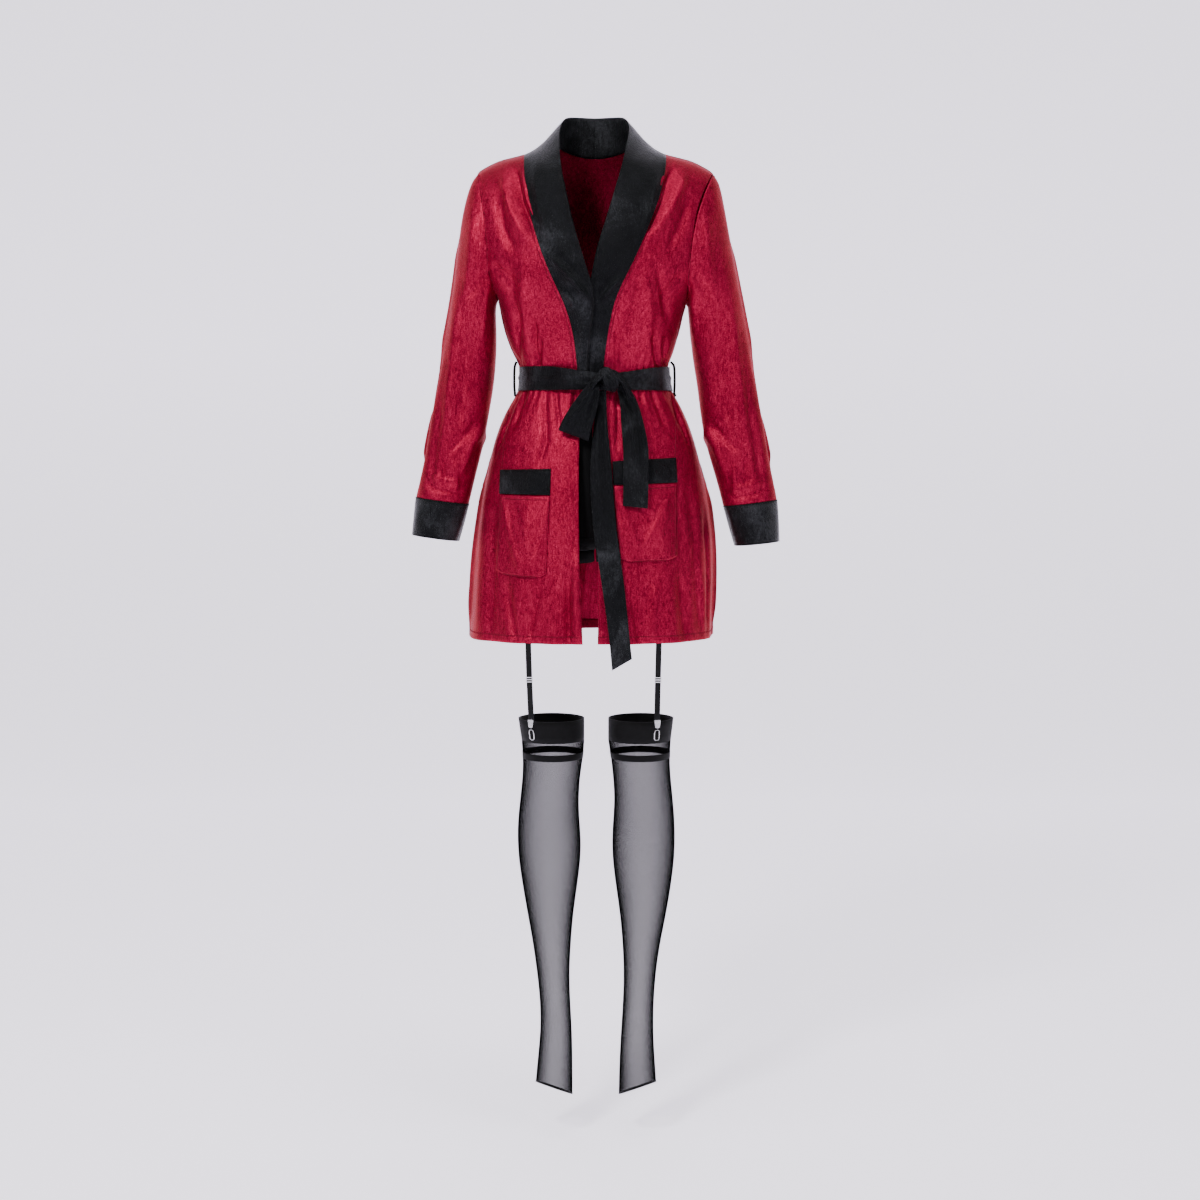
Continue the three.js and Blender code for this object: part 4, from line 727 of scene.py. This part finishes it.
def unit(v):
    return v / np.maximum(np.linalg.norm(v, axis=1), 1e-9)[:, None]


BODY = (0.155, 0.105)  # half the body's width and depth, in metres


def from_body(co):
    """Outward from the middle of the body, level."""
    return unit(np.stack([co[:, 0] / BODY[0] ** 2, co[:, 1] / BODY[1] ** 2, np.zeros(len(co))], 1))


def from_neck(co):
    """Outward from the neck above, to the front below."""
    ahead = smooth((-0.02 - co[:, 2]) / 0.06) * (co[:, 1] < 0)
    level = unit(np.stack([co[:, 0], co[:, 1], np.zeros(len(co))], 1))
    front = np.tile([0.0, -1.0, 0.0], (len(co), 1))
    return unit(level * (1 - ahead[:, None]) + front * ahead[:, None])


def forward(co):
    return np.tile([0.0, -1.0, 0.0], (len(co), 1))


def tube_middle(node, step=0.02):
    """The middle of a tube at each height, for its outward direction."""
    co = positions(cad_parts[node].data)
    heights = np.arange(co[:, 2].min(), co[:, 2].max() + step, step)
    rows = []
    for z in heights:
        near = co[np.abs(co[:, 2] - z) < step]
        if len(near) > 6:
            low, high = near.min(0), near.max(0)
            rows.append([z, (low[0] + high[0]) / 2, (low[1] + high[1]) / 2])
    return np.array(rows)


def from_tube(node):
    middle = tube_middle(node)

    def outward(co):
        x = np.interp(co[:, 2], middle[:, 0], middle[:, 1])
        y = np.interp(co[:, 2], middle[:, 0], middle[:, 2])
        return unit(np.stack([co[:, 0] - x, co[:, 1] - y, np.zeros(len(co))], 1))

    return outward


def waves(co, direction):
    """Faint unevenness, so that no wall is quite smooth."""
    x, y, z = co.T / MM
    turn = np.arctan2(direction[:, 1], direction[:, 0])
    return 0.35 * np.sin(5 * turn + z / 31) + 0.25 * np.sin(9 * turn - z / 19 + 1.3)


SASH_TOP = -332
SASH_BOTTOM = -354


def gathers(co, direction):
    """The small gathers above and below the sash, uneven and pressed flat under it."""
    x, y, z = co.T / MM
    around = 125 * np.arctan2(y / 0.72, x)
    wave = np.sin(around / 2.4 + 1.4 * np.sin(around / 17)) - 0.55
    uneven = 0.25 + (0.5 + 0.5 * np.sin(around / 9.7 + 1)) ** 2
    above = np.exp(-np.maximum(z - SASH_TOP, 0) / 20) * (z > SASH_TOP - 8)
    below = np.exp(-np.maximum(SASH_BOTTOM - z, 0) / 26) * (z < SASH_BOTTOM + 8)
    return 1.05 * uneven * wave * (above + below)


LOOP_FILL = 0.9  # the thread loops are this much rounder than their solids, in mm
pieces = {}
ROBE_ROWS = ROBE_FRONT + ROBE_SIDES + ROBE_BACK
FRONT_ROWS = ROBE_FRONT + ROBE_SIDES
SLEEVES = ["sleeve_right", "sleeve_left"]
SHORTS = ["shorts_right", "shorts_left"]
pieces["robe_back"] = cloth(
    "robe_back", CRIMSON, 3, from_body, ROBE_ROWS, gathers, sewn_to=SLEEVES, under=SHORTS
)
for side in SIDES:
    front = "robe_front_" + side
    sleeve = "sleeve_" + side
    cuff = "cuff_" + side
    pieces[front] = cloth(
        front, CRIMSON, 3, from_body, FRONT_ROWS, gathers, sewn_to=[sleeve], under=SHORTS
    )
    pieces[sleeve] = cloth(
        sleeve, CRIMSON, 3, from_tube(sleeve), SLEEVE_FOLDS[side], sewn_to=[front, "robe_back", cuff]
    )
    pieces[cuff] = cloth(cuff, BLACK, 2, from_tube(cuff), (), waves, sewn_to=[sleeve])
    bag = "pocket_bag_" + side
    pieces[bag] = cloth(bag, CRIMSON, 2, from_body, ROBE_FRONT + POCKET_FOLDS)
    band = "pocket_band_" + side
    pieces[band] = cloth(band, BLACK, 2, from_body, ROBE_FRONT)
    collar = "collar_" + side
    pieces[collar] = cloth(collar, BLACK, 3, from_neck, COLLAR_FOLDS)
    shorts = "shorts_" + side
    pieces[shorts] = cloth(shorts, JERSEY, 1, from_body, SHORTS_FOLDS)
    for part, material, levels in (("stocking_welt_", DENSE, 2), ("stocking_leg_", SHEER, 3)):
        pieces[part + side] = cloth(part + side, material, levels, from_tube(part + side))
    for part in ("garter_strap_upper_", "garter_strap_lower_"):
        pieces[part + side] = cloth(part + side, ELASTIC, 2, forward)
    loop = "belt_loop_" + side
    pieces[loop] = cloth(loop, THREAD_BLACK, 1, from_body, full=LOOP_FILL)
pieces["sash_band"] = cloth("sash_band", BLACK, 3, from_body, SASH_FOLDS)
for node, rows in (
    ("sash_loop", LOOP_FOLDS),
    ("sash_tail_long", TAIL_FOLDS),
    ("sash_tail_short", TAIL_FOLDS),
):
    pieces[node] = cloth(node, BLACK, 3, forward, rows)

# The knot: gathered wraps round a core, and the rolls where the strip goes in and out.

KNOT_CORE = (21, -96, -346)
KNOT_WRAPS = [
    # path, width at the ends, width in the middle, thickness, ridges across
    (
        [
            (10, -94, -335), (13, -105, -332), (19, -111, -339),
            (24, -112, -349), (27, -107, -358), (27, -95, -361),
        ],
        9, 21, 7, 2,
    ),
    (
        [
            (3, -95, -350), (8, -103, -340), (16, -107, -334),
            (26, -107, -334), (34, -102, -339), (38, -95, -347),
        ],
        6, 8, 5, 2,
    ),
    (
        [
            (7, -96, -352), (13, -104, -357), (20, -105, -359.5),
            (28, -104, -358), (35, -96, -352),
        ],
        6, 7, 5, 1,
    ),
    (
        [
            (20, -101, -337), (10, -105, -339), (0, -105, -346),
            (-8, -103, -358), (-14, -99, -370),
        ],
        9, 17, 6, 3,
    ),
    (
        [
            (24, -101, -338), (34, -104, -340), (42, -103, -348),
            (48, -100, -360), (51, -97, -372),
        ],
        9, 15, 6, 2,
    ),
]


def wrap_rings(path, ends, middle, thick, ridges, count=40, sides=32):
    """Rings of a gathered wrap: flat towards the core, ridged on its outside."""
    path = np.array(path, float)
    at = np.linspace(0, len(path) - 1, count)
    places = np.stack([np.interp(at, range(len(path)), path[:, i]) for i in range(3)], 1)
    for _ in range(6):
        places[1:-1] = (places[:-2] + 2 * places[1:-1] + places[2:]) / 4
    along = unit(np.gradient(places, axis=0))
    out = unit(places - np.array(KNOT_CORE))
    across = unit(np.cross(along, out))
    out = np.cross(across, along)
    rings = []
    for i in range(count):
        share = math.sin(math.pi * i / (count - 1))
        wide = (ends + (middle - ends) * share) / 2 * (1 + 0.08 * math.sin(i / 3.6))
        ring = []
        for k in range(sides):
            turn = 2 * math.pi * k / sides
            u, v = math.cos(turn), math.sin(turn)
            ridge = 0.42 * math.cos(ridges * 2 * math.pi * u + 1.6 * math.sin(i / 6.7)) * max(v, 0)
            ring.append(places[i] + across[i] * u * wide + out[i] * (v + ridge) * thick / 2)
        rings.append(ring)
    return rings


def joined(rings, start):
    """The faces of a closed tube on rings of equal count, whose points begin at an index."""
    sides = len(rings[0])
    faces = []
    for i in range(len(rings) - 1):
        for k in range(sides):
            a, b = start + i * sides + k, start + i * sides + (k + 1) % sides
            faces.append((a, b, b + sides, a + sides))
    last = start + (len(rings) - 1) * sides
    faces.append(tuple(start + k for k in reversed(range(sides))))
    faces.append(tuple(last + k for k in range(sides)))
    return faces


def outward_object(name, verts, faces, material):
    """An object whose faces all look outward. It rides on the root."""
    mesh = bpy.data.meshes.new(name)
    mesh.from_pydata(verts, [], faces)
    bm = bmesh.new()
    bm.from_mesh(mesh)
    bmesh.ops.recalc_face_normals(bm, faces=bm.faces)
    bm.to_mesh(mesh)
    bm.free()
    obj = new_object(name, mesh, material)
    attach(obj, "root")
    return obj


def make_knot():
    verts, faces = [], []
    for path, ends, middle, thick, ridges in KNOT_WRAPS:
        rings = wrap_rings(path, ends, middle, thick, ridges)
        faces += joined(rings, len(verts))
        for ring in rings:
            verts += [tuple(point * MM) for point in ring]
    obj = outward_object("sash_knot_wraps", verts, faces, BLACK)
    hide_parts("sash_knot")
    return obj


pieces["sash_knot"] = make_knot()

# Points on the finished cloth, for what is sewn on it.


OUTSIDE = 0.6  # in metres, further out than any cloth
ABOVE = 0.007  # a point near the cloth is looked for from this far out
BELOW = 0.02  # and this far in


class Surface:
    """The finished walls of some pieces, to find points on them. Sizes are in mm."""

    def __init__(self, names):
        verts, faces = [], []
        for name in names:
            mesh = pieces[name].data
            start = len(verts)
            verts += [tuple(v) for v in positions(mesh)]
            faces += [tuple(start + i for i in p.vertices) for p in mesh.polygons]
        self.tree = BVHTree.FromPolygons(verts, faces)

    def hit(self, start, way, reach=2.0):
        place, normal, _, _ = self.tree.ray_cast(Vector(start), Vector(way), reach)
        return None if place is None else (place, normal)

    def front(self, x, z):
        """The foremost point at x and z."""
        return self.hit((x * MM, -1.0, z * MM), (0, 1, 0))

    def outer(self, middle, z, turn):
        """The outermost point at a height, in one direction from a middle."""
        way = Vector((math.cos(turn), math.sin(turn), 0))
        start = Vector((middle[0] * MM, middle[1] * MM, z * MM)) + way * OUTSIDE
        return self.hit(start, -way, OUTSIDE)

    def inner(self, middle, z, turn):
        """The nearest point seen from a middle, at a height and in one direction."""
        way = Vector((math.cos(turn), math.sin(turn), 0))
        return self.hit((middle[0] * MM, middle[1] * MM, z * MM), way, OUTSIDE)

    def below(self, point, way):
        """The point of the cloth under a point near it."""
        found = self.hit(point + way * ABOVE, -way, BELOW)
        if found is None:
            place, normal, _, _ = self.tree.find_nearest(point)
            return place, way
        return found


def chains(hits, limit=0.03):
    """Runs of neighbouring points, broken where one is missing or far off."""
    runs = [[]]
    for found in hits:
        last = runs[-1][-1] if runs[-1] else None
        if found is None or (last is not None and (found[0] - last[0]).length > limit):
            if runs[-1]:
                runs.append([])
        if found is not None:
            runs[-1].append(found)
    return [run for run in runs if len(run) > 2]


def evenly(run, step):
    """The run's points and normals again, at even steps in metres."""
    places = np.array([p for p, n in run])
    normals = np.array([n for p, n in run])
    along = np.concatenate([[0], np.cumsum(np.linalg.norm(np.diff(places, axis=0), axis=1))])
    at = np.arange(0, along[-1], step)
    place = np.stack([np.interp(at, along, places[:, i]) for i in range(3)], 1)
    normal = unit(np.stack([np.interp(at, along, normals[:, i]) for i in range(3)], 1))
    return place, normal


def path_on(find, corners, step=3.0):
    """Points found along straight stretches between corners, given as pairs of mm."""
    hits = []
    for (a, b), (c, d) in zip(corners, corners[1:]):
        count = max(1, int(math.hypot(c - a, d - b) / step))
        hits += [find(a + (c - a) * k / count, b + (d - b) * k / count) for k in range(count + 1)]
    return hits


def rounded(corners, radius, arcs=6):
    """Corners of an open path, each rounded by an arc."""
    points = [np.array(corners[0], float)]
    for before, here, after in zip(corners, corners[1:], corners[2:]):
        here = np.array(here, float)
        to_before = np.array(before) - here
        to_after = np.array(after) - here
        start = here + to_before / np.linalg.norm(to_before) * radius
        end = here + to_after / np.linalg.norm(to_after) * radius
        for k in range(arcs + 1):
            t = k / arcs
            points.append((1 - t) ** 2 * start + 2 * t * (1 - t) * here + t**2 * end)
    points.append(np.array(corners[-1], float))
    return [tuple(p) for p in points]


def end_height(surface, middle, inside, outside, turn):
    """The height at which a tube ends, in one direction, between a height on it and one past it."""
    if surface.outer(middle, inside, turn) is None:
        return None
    for _ in range(11):
        between = (inside + outside) / 2
        if surface.outer(middle, between, turn) is None:
            outside = between
        else:
            inside = between
    return inside


def turns(count):
    return [2 * math.pi * k / count for k in range(count + 1)]


def end_line(surface, middle, inside, outside, rise, count=240):
    """A line round a tube, at a distance from its end."""
    hits = []
    for turn in turns(count):
        end = end_height(surface, middle, inside, outside, turn)
        hits.append(None if end is None else surface.outer(middle, end + rise, turn))
    return hits


TWIN = 0.0032  # in metres: the two sides of one wall are this near
GAP = 0.05  # a seam is broken where its corners lie further apart
CLOSED = 0.04  # a seam's ends that are nearer than this are joined
SEAM_STEP = 0.003


def meeting_line(node, others, surface, outward):
    """The seam where a piece meets others: its outer corners there, in order, on the cloth."""
    near = walls_of(others)
    bm = quad_copy(node)
    sewn = [v.co.copy() for v in bm.verts if near.find_nearest(v.co)[3] < SEWN_WITHIN * MM]
    bm.free()
    ways = [Vector(w) for w in outward(np.array(sewn))]
    keep = []
    for i, place in enumerate(sewn):
        twins = [j for j in range(len(sewn)) if j != i and (sewn[j] - place).length < TWIN]
        if all(sewn[j].dot(ways[i]) <= place.dot(ways[i]) for j in twins):
            keep.append(i)
    middle = sum((sewn[i] for i in keep), Vector()) / len(keep)
    runs = []
    while keep:
        here = max(keep, key=lambda i: (sewn[i] - middle).length)
        keep.remove(here)
        run = [here]
        while keep:
            there = min(keep, key=lambda i: (sewn[i] - sewn[run[-1]]).length)
            if (sewn[there] - sewn[run[-1]]).length > GAP:
                break
            keep.remove(there)
            run.append(there)
        if len(run) > 5 and (sewn[run[0]] - sewn[run[-1]]).length < CLOSED:
            run.append(run[0])
        runs.append(run)
    hits = []
    for run in runs:
        for i, j in zip(run, run[1:]):
            count = max(1, int((sewn[j] - sewn[i]).length / SEAM_STEP))
            for k in range(count + 1):
                point = sewn[i].lerp(sewn[j], k / count)
                way = ways[i].lerp(ways[j], k / count).normalized()
                hits.append((surface.below(point, way)[0], way))
        hits.append(None)
    return hits


class Sewing:
    """Cords, stitches and strips of one material, gathered into one mesh."""

    def __init__(self, name, material, slot):
        self.name, self.material, self.slot = name, material, slot
        self.verts, self.faces = [], []

    def tube(self, places, normals, radii, sides):
        """A closed tube with pointed ends."""
        along = unit(np.gradient(places, axis=0))
        across = unit(np.cross(along, normals))
        up = np.cross(across, along)
        angles = [2 * math.pi * k / sides for k in range(sides)]
        rings = []
        for place, u, v, radius in zip(places, across, up, radii):
            rings.append([tuple(place + radius * (math.cos(a) * u + math.sin(a) * v)) for a in angles])
        self.faces += joined(rings, len(self.verts))
        for ring in rings:
            self.verts += ring

    def cord(self, hits, radius, lift=0.0, step=2.5, sides=6):
        """A cord along a line on the cloth. Its middle is lifted off the cloth."""
        for run in chains(hits):
            places, normals = evenly(run, step * MM)
            if len(places) > 2:
                radii = np.full(len(places), radius * MM)
                radii[[0, -1]] *= 0.3
                self.tube(places + normals * (lift * MM), normals, radii, sides)

    def stitches(self, hits, length=2.4, gap=1.1, radius=0.34, lift=0.12):
        """A row of stitches along a line on the cloth."""
        for run in chains(hits):
            places, normals = evenly(run, (length + gap) * MM)
            ahead = unit(np.gradient(places, axis=0)) if len(places) > 2 else []
            for place, normal, way in zip(places, normals, ahead):
                ends = [-0.5, -0.3, 0.3, 0.5]
                spots = np.array([place + way * (e * length * MM) for e in ends])
                spots += normal * (lift * MM)
                spots[[0, -1]] -= normal * (radius * MM)
                radii = np.array([0.35, 1.0, 1.0, 0.35]) * radius * MM
                self.tube(spots, np.tile(normal, (4, 1)), radii, 4)

    def strip(self, columns, thick, sink=0.15):
        """Thin strips on the cloth, each column a list of points across. A missing point ends a strip."""
        run = []
        for column in columns + [[None]]:
            if all(found is not None for found in column):
                run.append(column)
                continue
            if len(run) > 2:
                self.one_strip(run, thick, sink)
            run = []

    def one_strip(self, columns, thick, sink):
        wide = len(columns[0])
        start = len(self.verts)
        for column in columns:
            self.verts += [tuple(place + normal * (thick * MM)) for place, normal in column]
        bottom = len(self.verts)
        for column in columns:
            self.verts += [tuple(place - normal * (sink * MM)) for place, normal in column]
        for i in range(len(columns) - 1):
            for k in range(wide - 1):
                a = i * wide + k
                quad = (a, a + 1, a + 1 + wide, a + wide)
                self.faces.append(tuple(start + q for q in quad))
                self.faces.append(tuple(bottom + q for q in reversed(quad)))
        border = [i * wide for i in range(len(columns))]
        border += [(len(columns) - 1) * wide + k for k in range(1, wide)]
        border += [i * wide + wide - 1 for i in reversed(range(len(columns) - 1))]
        border += list(reversed(range(1, wide - 1)))
        for a, b in zip(border, border[1:] + border[:1]):
            self.faces.append((start + b, start + a, bottom + a, bottom + b))

    def finish(self):
        obj = outward_object(self.name, self.verts, self.faces, self.material)
        return obj


# Seams and stitches.

ROBE = Surface(["robe_back", "robe_front_right", "robe_front_left"])
# The red seam cords are darker than the velour. They are painted shade along the side, armhole, princess,
# pocket and collar seams and the hem groove, and partly real seam thread.
red = Sewing("red_seams_painted_shade", RED_THREAD_AND_SEAM_SHADE, "velour_crimson")
fill = Sewing("armhole_edges", CRIMSON, "velour_crimson")
red_stitches = Sewing("red_stitches", RED_THREAD_AND_SEAM_SHADE, "velour_crimson")
black = Sewing("black_seams", THREAD_BLACK, "velour_black")
edges = Sewing("black_rolled_edges", BLACK, "velour_black")
black_stitches = Sewing("black_stitches", THREAD_BLACK, "velour_black")
hem_inside = Sewing("robe_hem_inside", INSIDE, "velour_crimson")

HEM_STITCH = 10
HEM_TURN = 15
HEM_LIP = 1.0
HEM_COLUMNS = 420
STRIP_ROWS = 5
GROOVE_BESIDE = 1.2  # a stitch line's groove is this far from it
# A seam's cord, as its radius and how far its middle is lifted off the cloth.
SIDE_SEAM = (0.75, -0.1)
HEM_GROOVE = (0.35, 0.0)
ARMHOLE_EDGE = (1.6, -1.1)
ARMHOLE_SEAM = (0.6, 0.25)
CUFF_SEAM = (0.6, 0.05)
ROLLED_EDGE = (0.8, -0.35)
SASH_EDGE = (0.7, -0.3)
COLLAR_SEAM = (0.4, 0.0)
PRINCESS_SEAM = (0.55, 0.0)
BAG_EDGE = (0.55, -0.1)
BAG_MOUTH = (0.5, 0.0)
CENTRE_BACK_SEAM = (0.7, 0.0)
SHORTS_SEAM = (0.5, 0.0)
ROBE_MIDDLE = (0, 10)
ROBE_HEM = (-715, -790)
COLLAR_HEIGHTS = (-30, -332, -4)
COLLAR_OUTSIDE = 175  # the collar's outline is looked for from here inward,
COLLAR_INSIDE = 15  # as far as here
COLLAR_STITCH = 5.5
FRONT_FACING = {
    "right": [(-30, -356), (-32, -560), (-34, -735)],
    "left": [(22, -356), (20, -560), (18, -735)],
}

red.cord(meeting_line("robe_front_right", ["robe_back"], ROBE, from_body), *SIDE_SEAM)
red.cord(meeting_line("robe_front_left", ["robe_back"], ROBE, from_body), *SIDE_SEAM)
red_stitches.stitches(end_line(ROBE, ROBE_MIDDLE, *ROBE_HEM, HEM_STITCH, HEM_COLUMNS))
# A dark crimson cord in the groove beside the hem stitches: painted shade in the groove.
groove = end_line(ROBE, ROBE_MIDDLE, *ROBE_HEM, HEM_STITCH + GROOVE_BESIDE, HEM_COLUMNS)
red.cord(groove, *HEM_GROOVE)

columns = []
for turn in turns(360):
    end = end_height(ROBE, ROBE_MIDDLE, *ROBE_HEM, turn)
    if end is None:
        columns.append([None])
        continue
    low = end + HEM_LIP
    levels = [low + (HEM_TURN - HEM_LIP) * k / (STRIP_ROWS - 1) for k in range(STRIP_ROWS)]
    columns.append([ROBE.inner(ROBE_MIDDLE, z, turn) for z in levels])
hem_inside.strip(columns, 0.5)

PRINCESS = {
    "right": [(-129, -356), (-132.5, -405), (-136.3, -441), (-139.4, -478)],
    "left": [(119.5, -354), (120.6, -393), (120, -434), (118.6, -462)],
}
BAGS = {
    "right": [(-139.5, -518), (-147, -632), (-71, -637), (-66, -519)],
    "left": [(27.5, -504), (38, -613), (120, -611), (120.5, -501)],
}
BANDS = {
    "right": [(-140, -479), (-65, -477), (-66, -515), (-141, -514)],
    "left": [(26, -466), (119, -461), (121, -497), (27, -500)],
}
CORNER = 9
BAG_BORDER = 0.8
BAG_STITCH = 3.2
BAG_SECOND_STITCH = 7.0
BAND_STITCH = 1.6


def inset(corners, by):
    """Corners moved towards the middle of their shape."""
    middle = np.mean(corners, axis=0)
    moved = []
    for corner in corners:
        away = np.array(corner) - middle
        moved.append(tuple(corner - np.sign(away) * by))
    return moved


for side in SIDES:
    sign = -1 if side == "right" else 1
    front = Surface(["robe_front_" + side])
    sleeve, cuff = "sleeve_" + side, "cuff_" + side
    arm = Surface([sleeve, cuff])
    body_and_arm = Surface([sleeve, "robe_front_" + side, "robe_back"])
    armhole = meeting_line(sleeve, ["robe_front_" + side, "robe_back"], body_and_arm, from_body)
    fill.cord(armhole, *ARMHOLE_EDGE)
    red.cord(armhole, *ARMHOLE_SEAM)
    black.cord(meeting_line(cuff, [sleeve], arm, from_tube(sleeve)), *CUFF_SEAM)

    collar = Surface(["collar_" + side])
    outline = []
    for z in range(*COLLAR_HEIGHTS):
        for step in range(2 * (COLLAR_OUTSIDE - COLLAR_INSIDE)):
            x = sign * (COLLAR_OUTSIDE - step / 2)
            if collar.front(x, z) is not None:
                outline.append((x, z))
                break
    edges.cord([collar.front(x - sign * 0.5, z) for x, z in outline], *ROLLED_EDGE)
    beside = [(x + sign * COLLAR_STITCH, z) for x, z in outline]
    red_stitches.stitches([front.front(x, z) for x, z in beside])
    red.cord([front.front(x - sign * GROOVE_BESIDE, z) for x, z in beside], *COLLAR_SEAM)

    red.cord(path_on(front.front, PRINCESS[side]), *PRINCESS_SEAM)
    red_stitches.stitches(path_on(front.front, FRONT_FACING[side]))

    bag = Surface(["pocket_bag_" + side])
    outline = rounded(inset(BAGS[side], BAG_BORDER), CORNER)
    red.cord(path_on(bag.front, outline), *BAG_EDGE)
    stitched = inset(BAGS[side], BAG_STITCH)
    red_stitches.stitches(path_on(bag.front, rounded(stitched, CORNER)))
    red.cord(path_on(bag.front, [stitched[0], stitched[3]]), *BAG_MOUTH)
    band = Surface(["pocket_band_" + side])
    ring = inset(BANDS[side], BAND_STITCH)
    black_stitches.stitches(path_on(band.front, ring + ring[:1]))

BAG_LEFT = Surface(["pocket_bag_left"])
inner = inset(BAGS["left"], BAG_SECOND_STITCH)
red_stitches.stitches(path_on(BAG_LEFT.front, [inner[3], inner[2]]))

COLLARS = Surface(["collar_right", "collar_left"])
black.cord(meeting_line("collar_right", ["collar_left"], COLLARS, from_neck), *CENTRE_BACK_SEAM)

SHORTS_HEM_STITCH = 20
SHORTS_HEM = (-530, -600)
SHORTS_LEG_MIDDLE = 68
shorts_all = Surface(["shorts_right", "shorts_left"])
black.cord(meeting_line("shorts_right", ["shorts_left"], shorts_all, from_body), *SHORTS_SEAM)
for side in SIDES:
    sign = -1 if side == "right" else 1
    leg = Surface(["shorts_" + side])
    middle = (sign * SHORTS_LEG_MIDDLE, 0)
    black_stitches.stitches(end_line(leg, middle, *SHORTS_HEM, SHORTS_HEM_STITCH))
    groove = end_line(leg, middle, *SHORTS_HEM, SHORTS_HEM_STITCH - GROOVE_BESIDE)
    black.cord(groove, *HEM_GROOVE)

# Sash and cuff edges, rolled.

SASH_MIDDLE = (0, 0)
SASH_LEVEL = -343
SASH_COLUMNS = 300
CUFF_INSIDE = 12
CUFF_PAST = 40
CUFF_RISE = 1.0
CUFF_COLUMNS = 160
sash = Surface(["sash_band"])
for outside, rise in ((-320, -0.8), (-372, 0.8)):
    edges.cord(end_line(sash, SASH_MIDDLE, SASH_LEVEL, outside, rise, SASH_COLUMNS), *SASH_EDGE)

for side in SIDES:
    cuff = Surface(["cuff_" + side])
    rows = tube_middle("cuff_" + side, 0.01) / MM
    low, x, y = rows[1]
    line = end_line(cuff, (x, y), low + CUFF_INSIDE, low - CUFF_PAST, CUFF_RISE, CUFF_COLUMNS)
    edges.cord(line, *ROLLED_EDGE)

# Stockings: a second band and a hem at the ankle.

dense = Sewing("stocking_bands", DENSE, "knit_black")
BAND = (-921, -911)
ANKLE = (-1400, -1470)
ANKLE_HEM = 2.5
LEG_MIDDLE = (66, 4)
FOOT_MIDDLE = (64, -2)
LEG_COLUMNS = 96
BAND_WALL = 0.35
for side in SIDES:
    leg = Surface(["stocking_leg_" + side])
    sign = -1 if side == "right" else 1
    middle = (sign * LEG_MIDDLE[0], LEG_MIDDLE[1])
    levels = [BAND[0] + (BAND[1] - BAND[0]) * k / (STRIP_ROWS - 1) for k in range(STRIP_ROWS)]
    dense.strip([[leg.outer(middle, z, turn) for z in levels] for turn in turns(LEG_COLUMNS)], BAND_WALL)
    foot = (sign * FOOT_MIDDLE[0], FOOT_MIDDLE[1])
    columns = []
    for turn in turns(LEG_COLUMNS):
        end = end_height(leg, foot, *ANKLE, turn) + 0.4
        columns.append([leg.outer(foot, end + ANKLE_HEM * k / 3, turn) for k in range(4)])
    dense.strip(columns, BAND_WALL)
bands = dense.finish()

for work in (red, fill, red_stitches, black, edges, black_stitches, hem_inside):
    work.finish()


# Metal and rubber of the clips.

for side in SIDES:
    for node in ("garter_adjuster_", "garter_clip_plate_", "garter_clip_loop_"):
        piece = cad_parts[node + side]
        piece.data.materials.clear()
        piece.data.materials.append(SILVER)
    for node in ("garter_clip_flap_", "garter_clip_button_"):
        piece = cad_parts[node + side]
        piece.data.materials.clear()
        piece.data.materials.append(RUBBER)

# The cut of each sheet, as width and length in metres, and its area where it isn't a rectangle.

ROBE_PIECES = ["robe_back", "robe_front_right", "robe_front_left"]
CUTS = [
    # piece, width, length, area, held, what it rests on or hangs from
    ("robe_back", 0.560, 0.760, 0.310, "hung", ["robe_front_right", "robe_front_left"]),
    ("robe_front_right", 0.270, 0.760, 0.141, "hung", ["robe_back"]),
    ("robe_front_left", 0.280, 0.760, 0.149, "hung", ["robe_back"]),
    ("sleeve_right", 0.350, 0.500, 0.112, "hung", ["robe_back"]),
    ("sleeve_left", 0.370, 0.500, 0.120, "hung", ["robe_back"]),
    ("cuff_right", 0.232, 0.061, None, "hung", ["sleeve_right"]),
    ("cuff_left", 0.242, 0.063, None, "hung", ["sleeve_left"]),
    ("collar_right", 0.110, 0.460, 0.037, "draped", ROBE_PIECES),
    ("collar_left", 0.110, 0.460, 0.039, "draped", ROBE_PIECES),
    ("pocket_bag_right", 0.082, 0.120, None, "hung", ["robe_front_right"]),
    ("pocket_bag_left", 0.094, 0.114, None, "hung", ["robe_front_left"]),
    ("pocket_band_right", 0.079, 0.039, None, "hung", ["robe_front_right"]),
    ("pocket_band_left", 0.097, 0.038, None, "hung", ["robe_front_left"]),
    ("sash_band", 0.034, 0.640, None, "stretched", ROBE_PIECES),
    ("sash_loop", 0.036, 0.168, None, "hung", ["sash_knot"]),
    ("sash_tail_long", 0.034, 0.410, 0.0125, "hung", ["sash_knot"]),
    ("sash_tail_short", 0.036, 0.182, None, "hung", ["sash_knot"]),
]
PAIRS = [
    # piece of each side, width, length, area, what it rests on or hangs from
    ("stocking_welt_", 0.350, 0.033, None, "garter_strap_lower_"),
    ("stocking_leg_", 0.345, 0.560, 0.138, "stocking_welt_"),
    ("garter_strap_upper_", 0.010, 0.190, None, "shorts_"),
    ("garter_strap_lower_", 0.010, 0.062, None, "garter_adjuster_"),
]
for side in SIDES:
    CUTS.append(("shorts_" + side, 0.500, 0.275, 0.111, "stretched", ["robe_back"]))
for node, width, length, area, rest in PAIRS:
    CUTS += [(node + side, width, length, area, "stretched", [rest + side]) for side in SIDES]

make_camera()
make_studio()
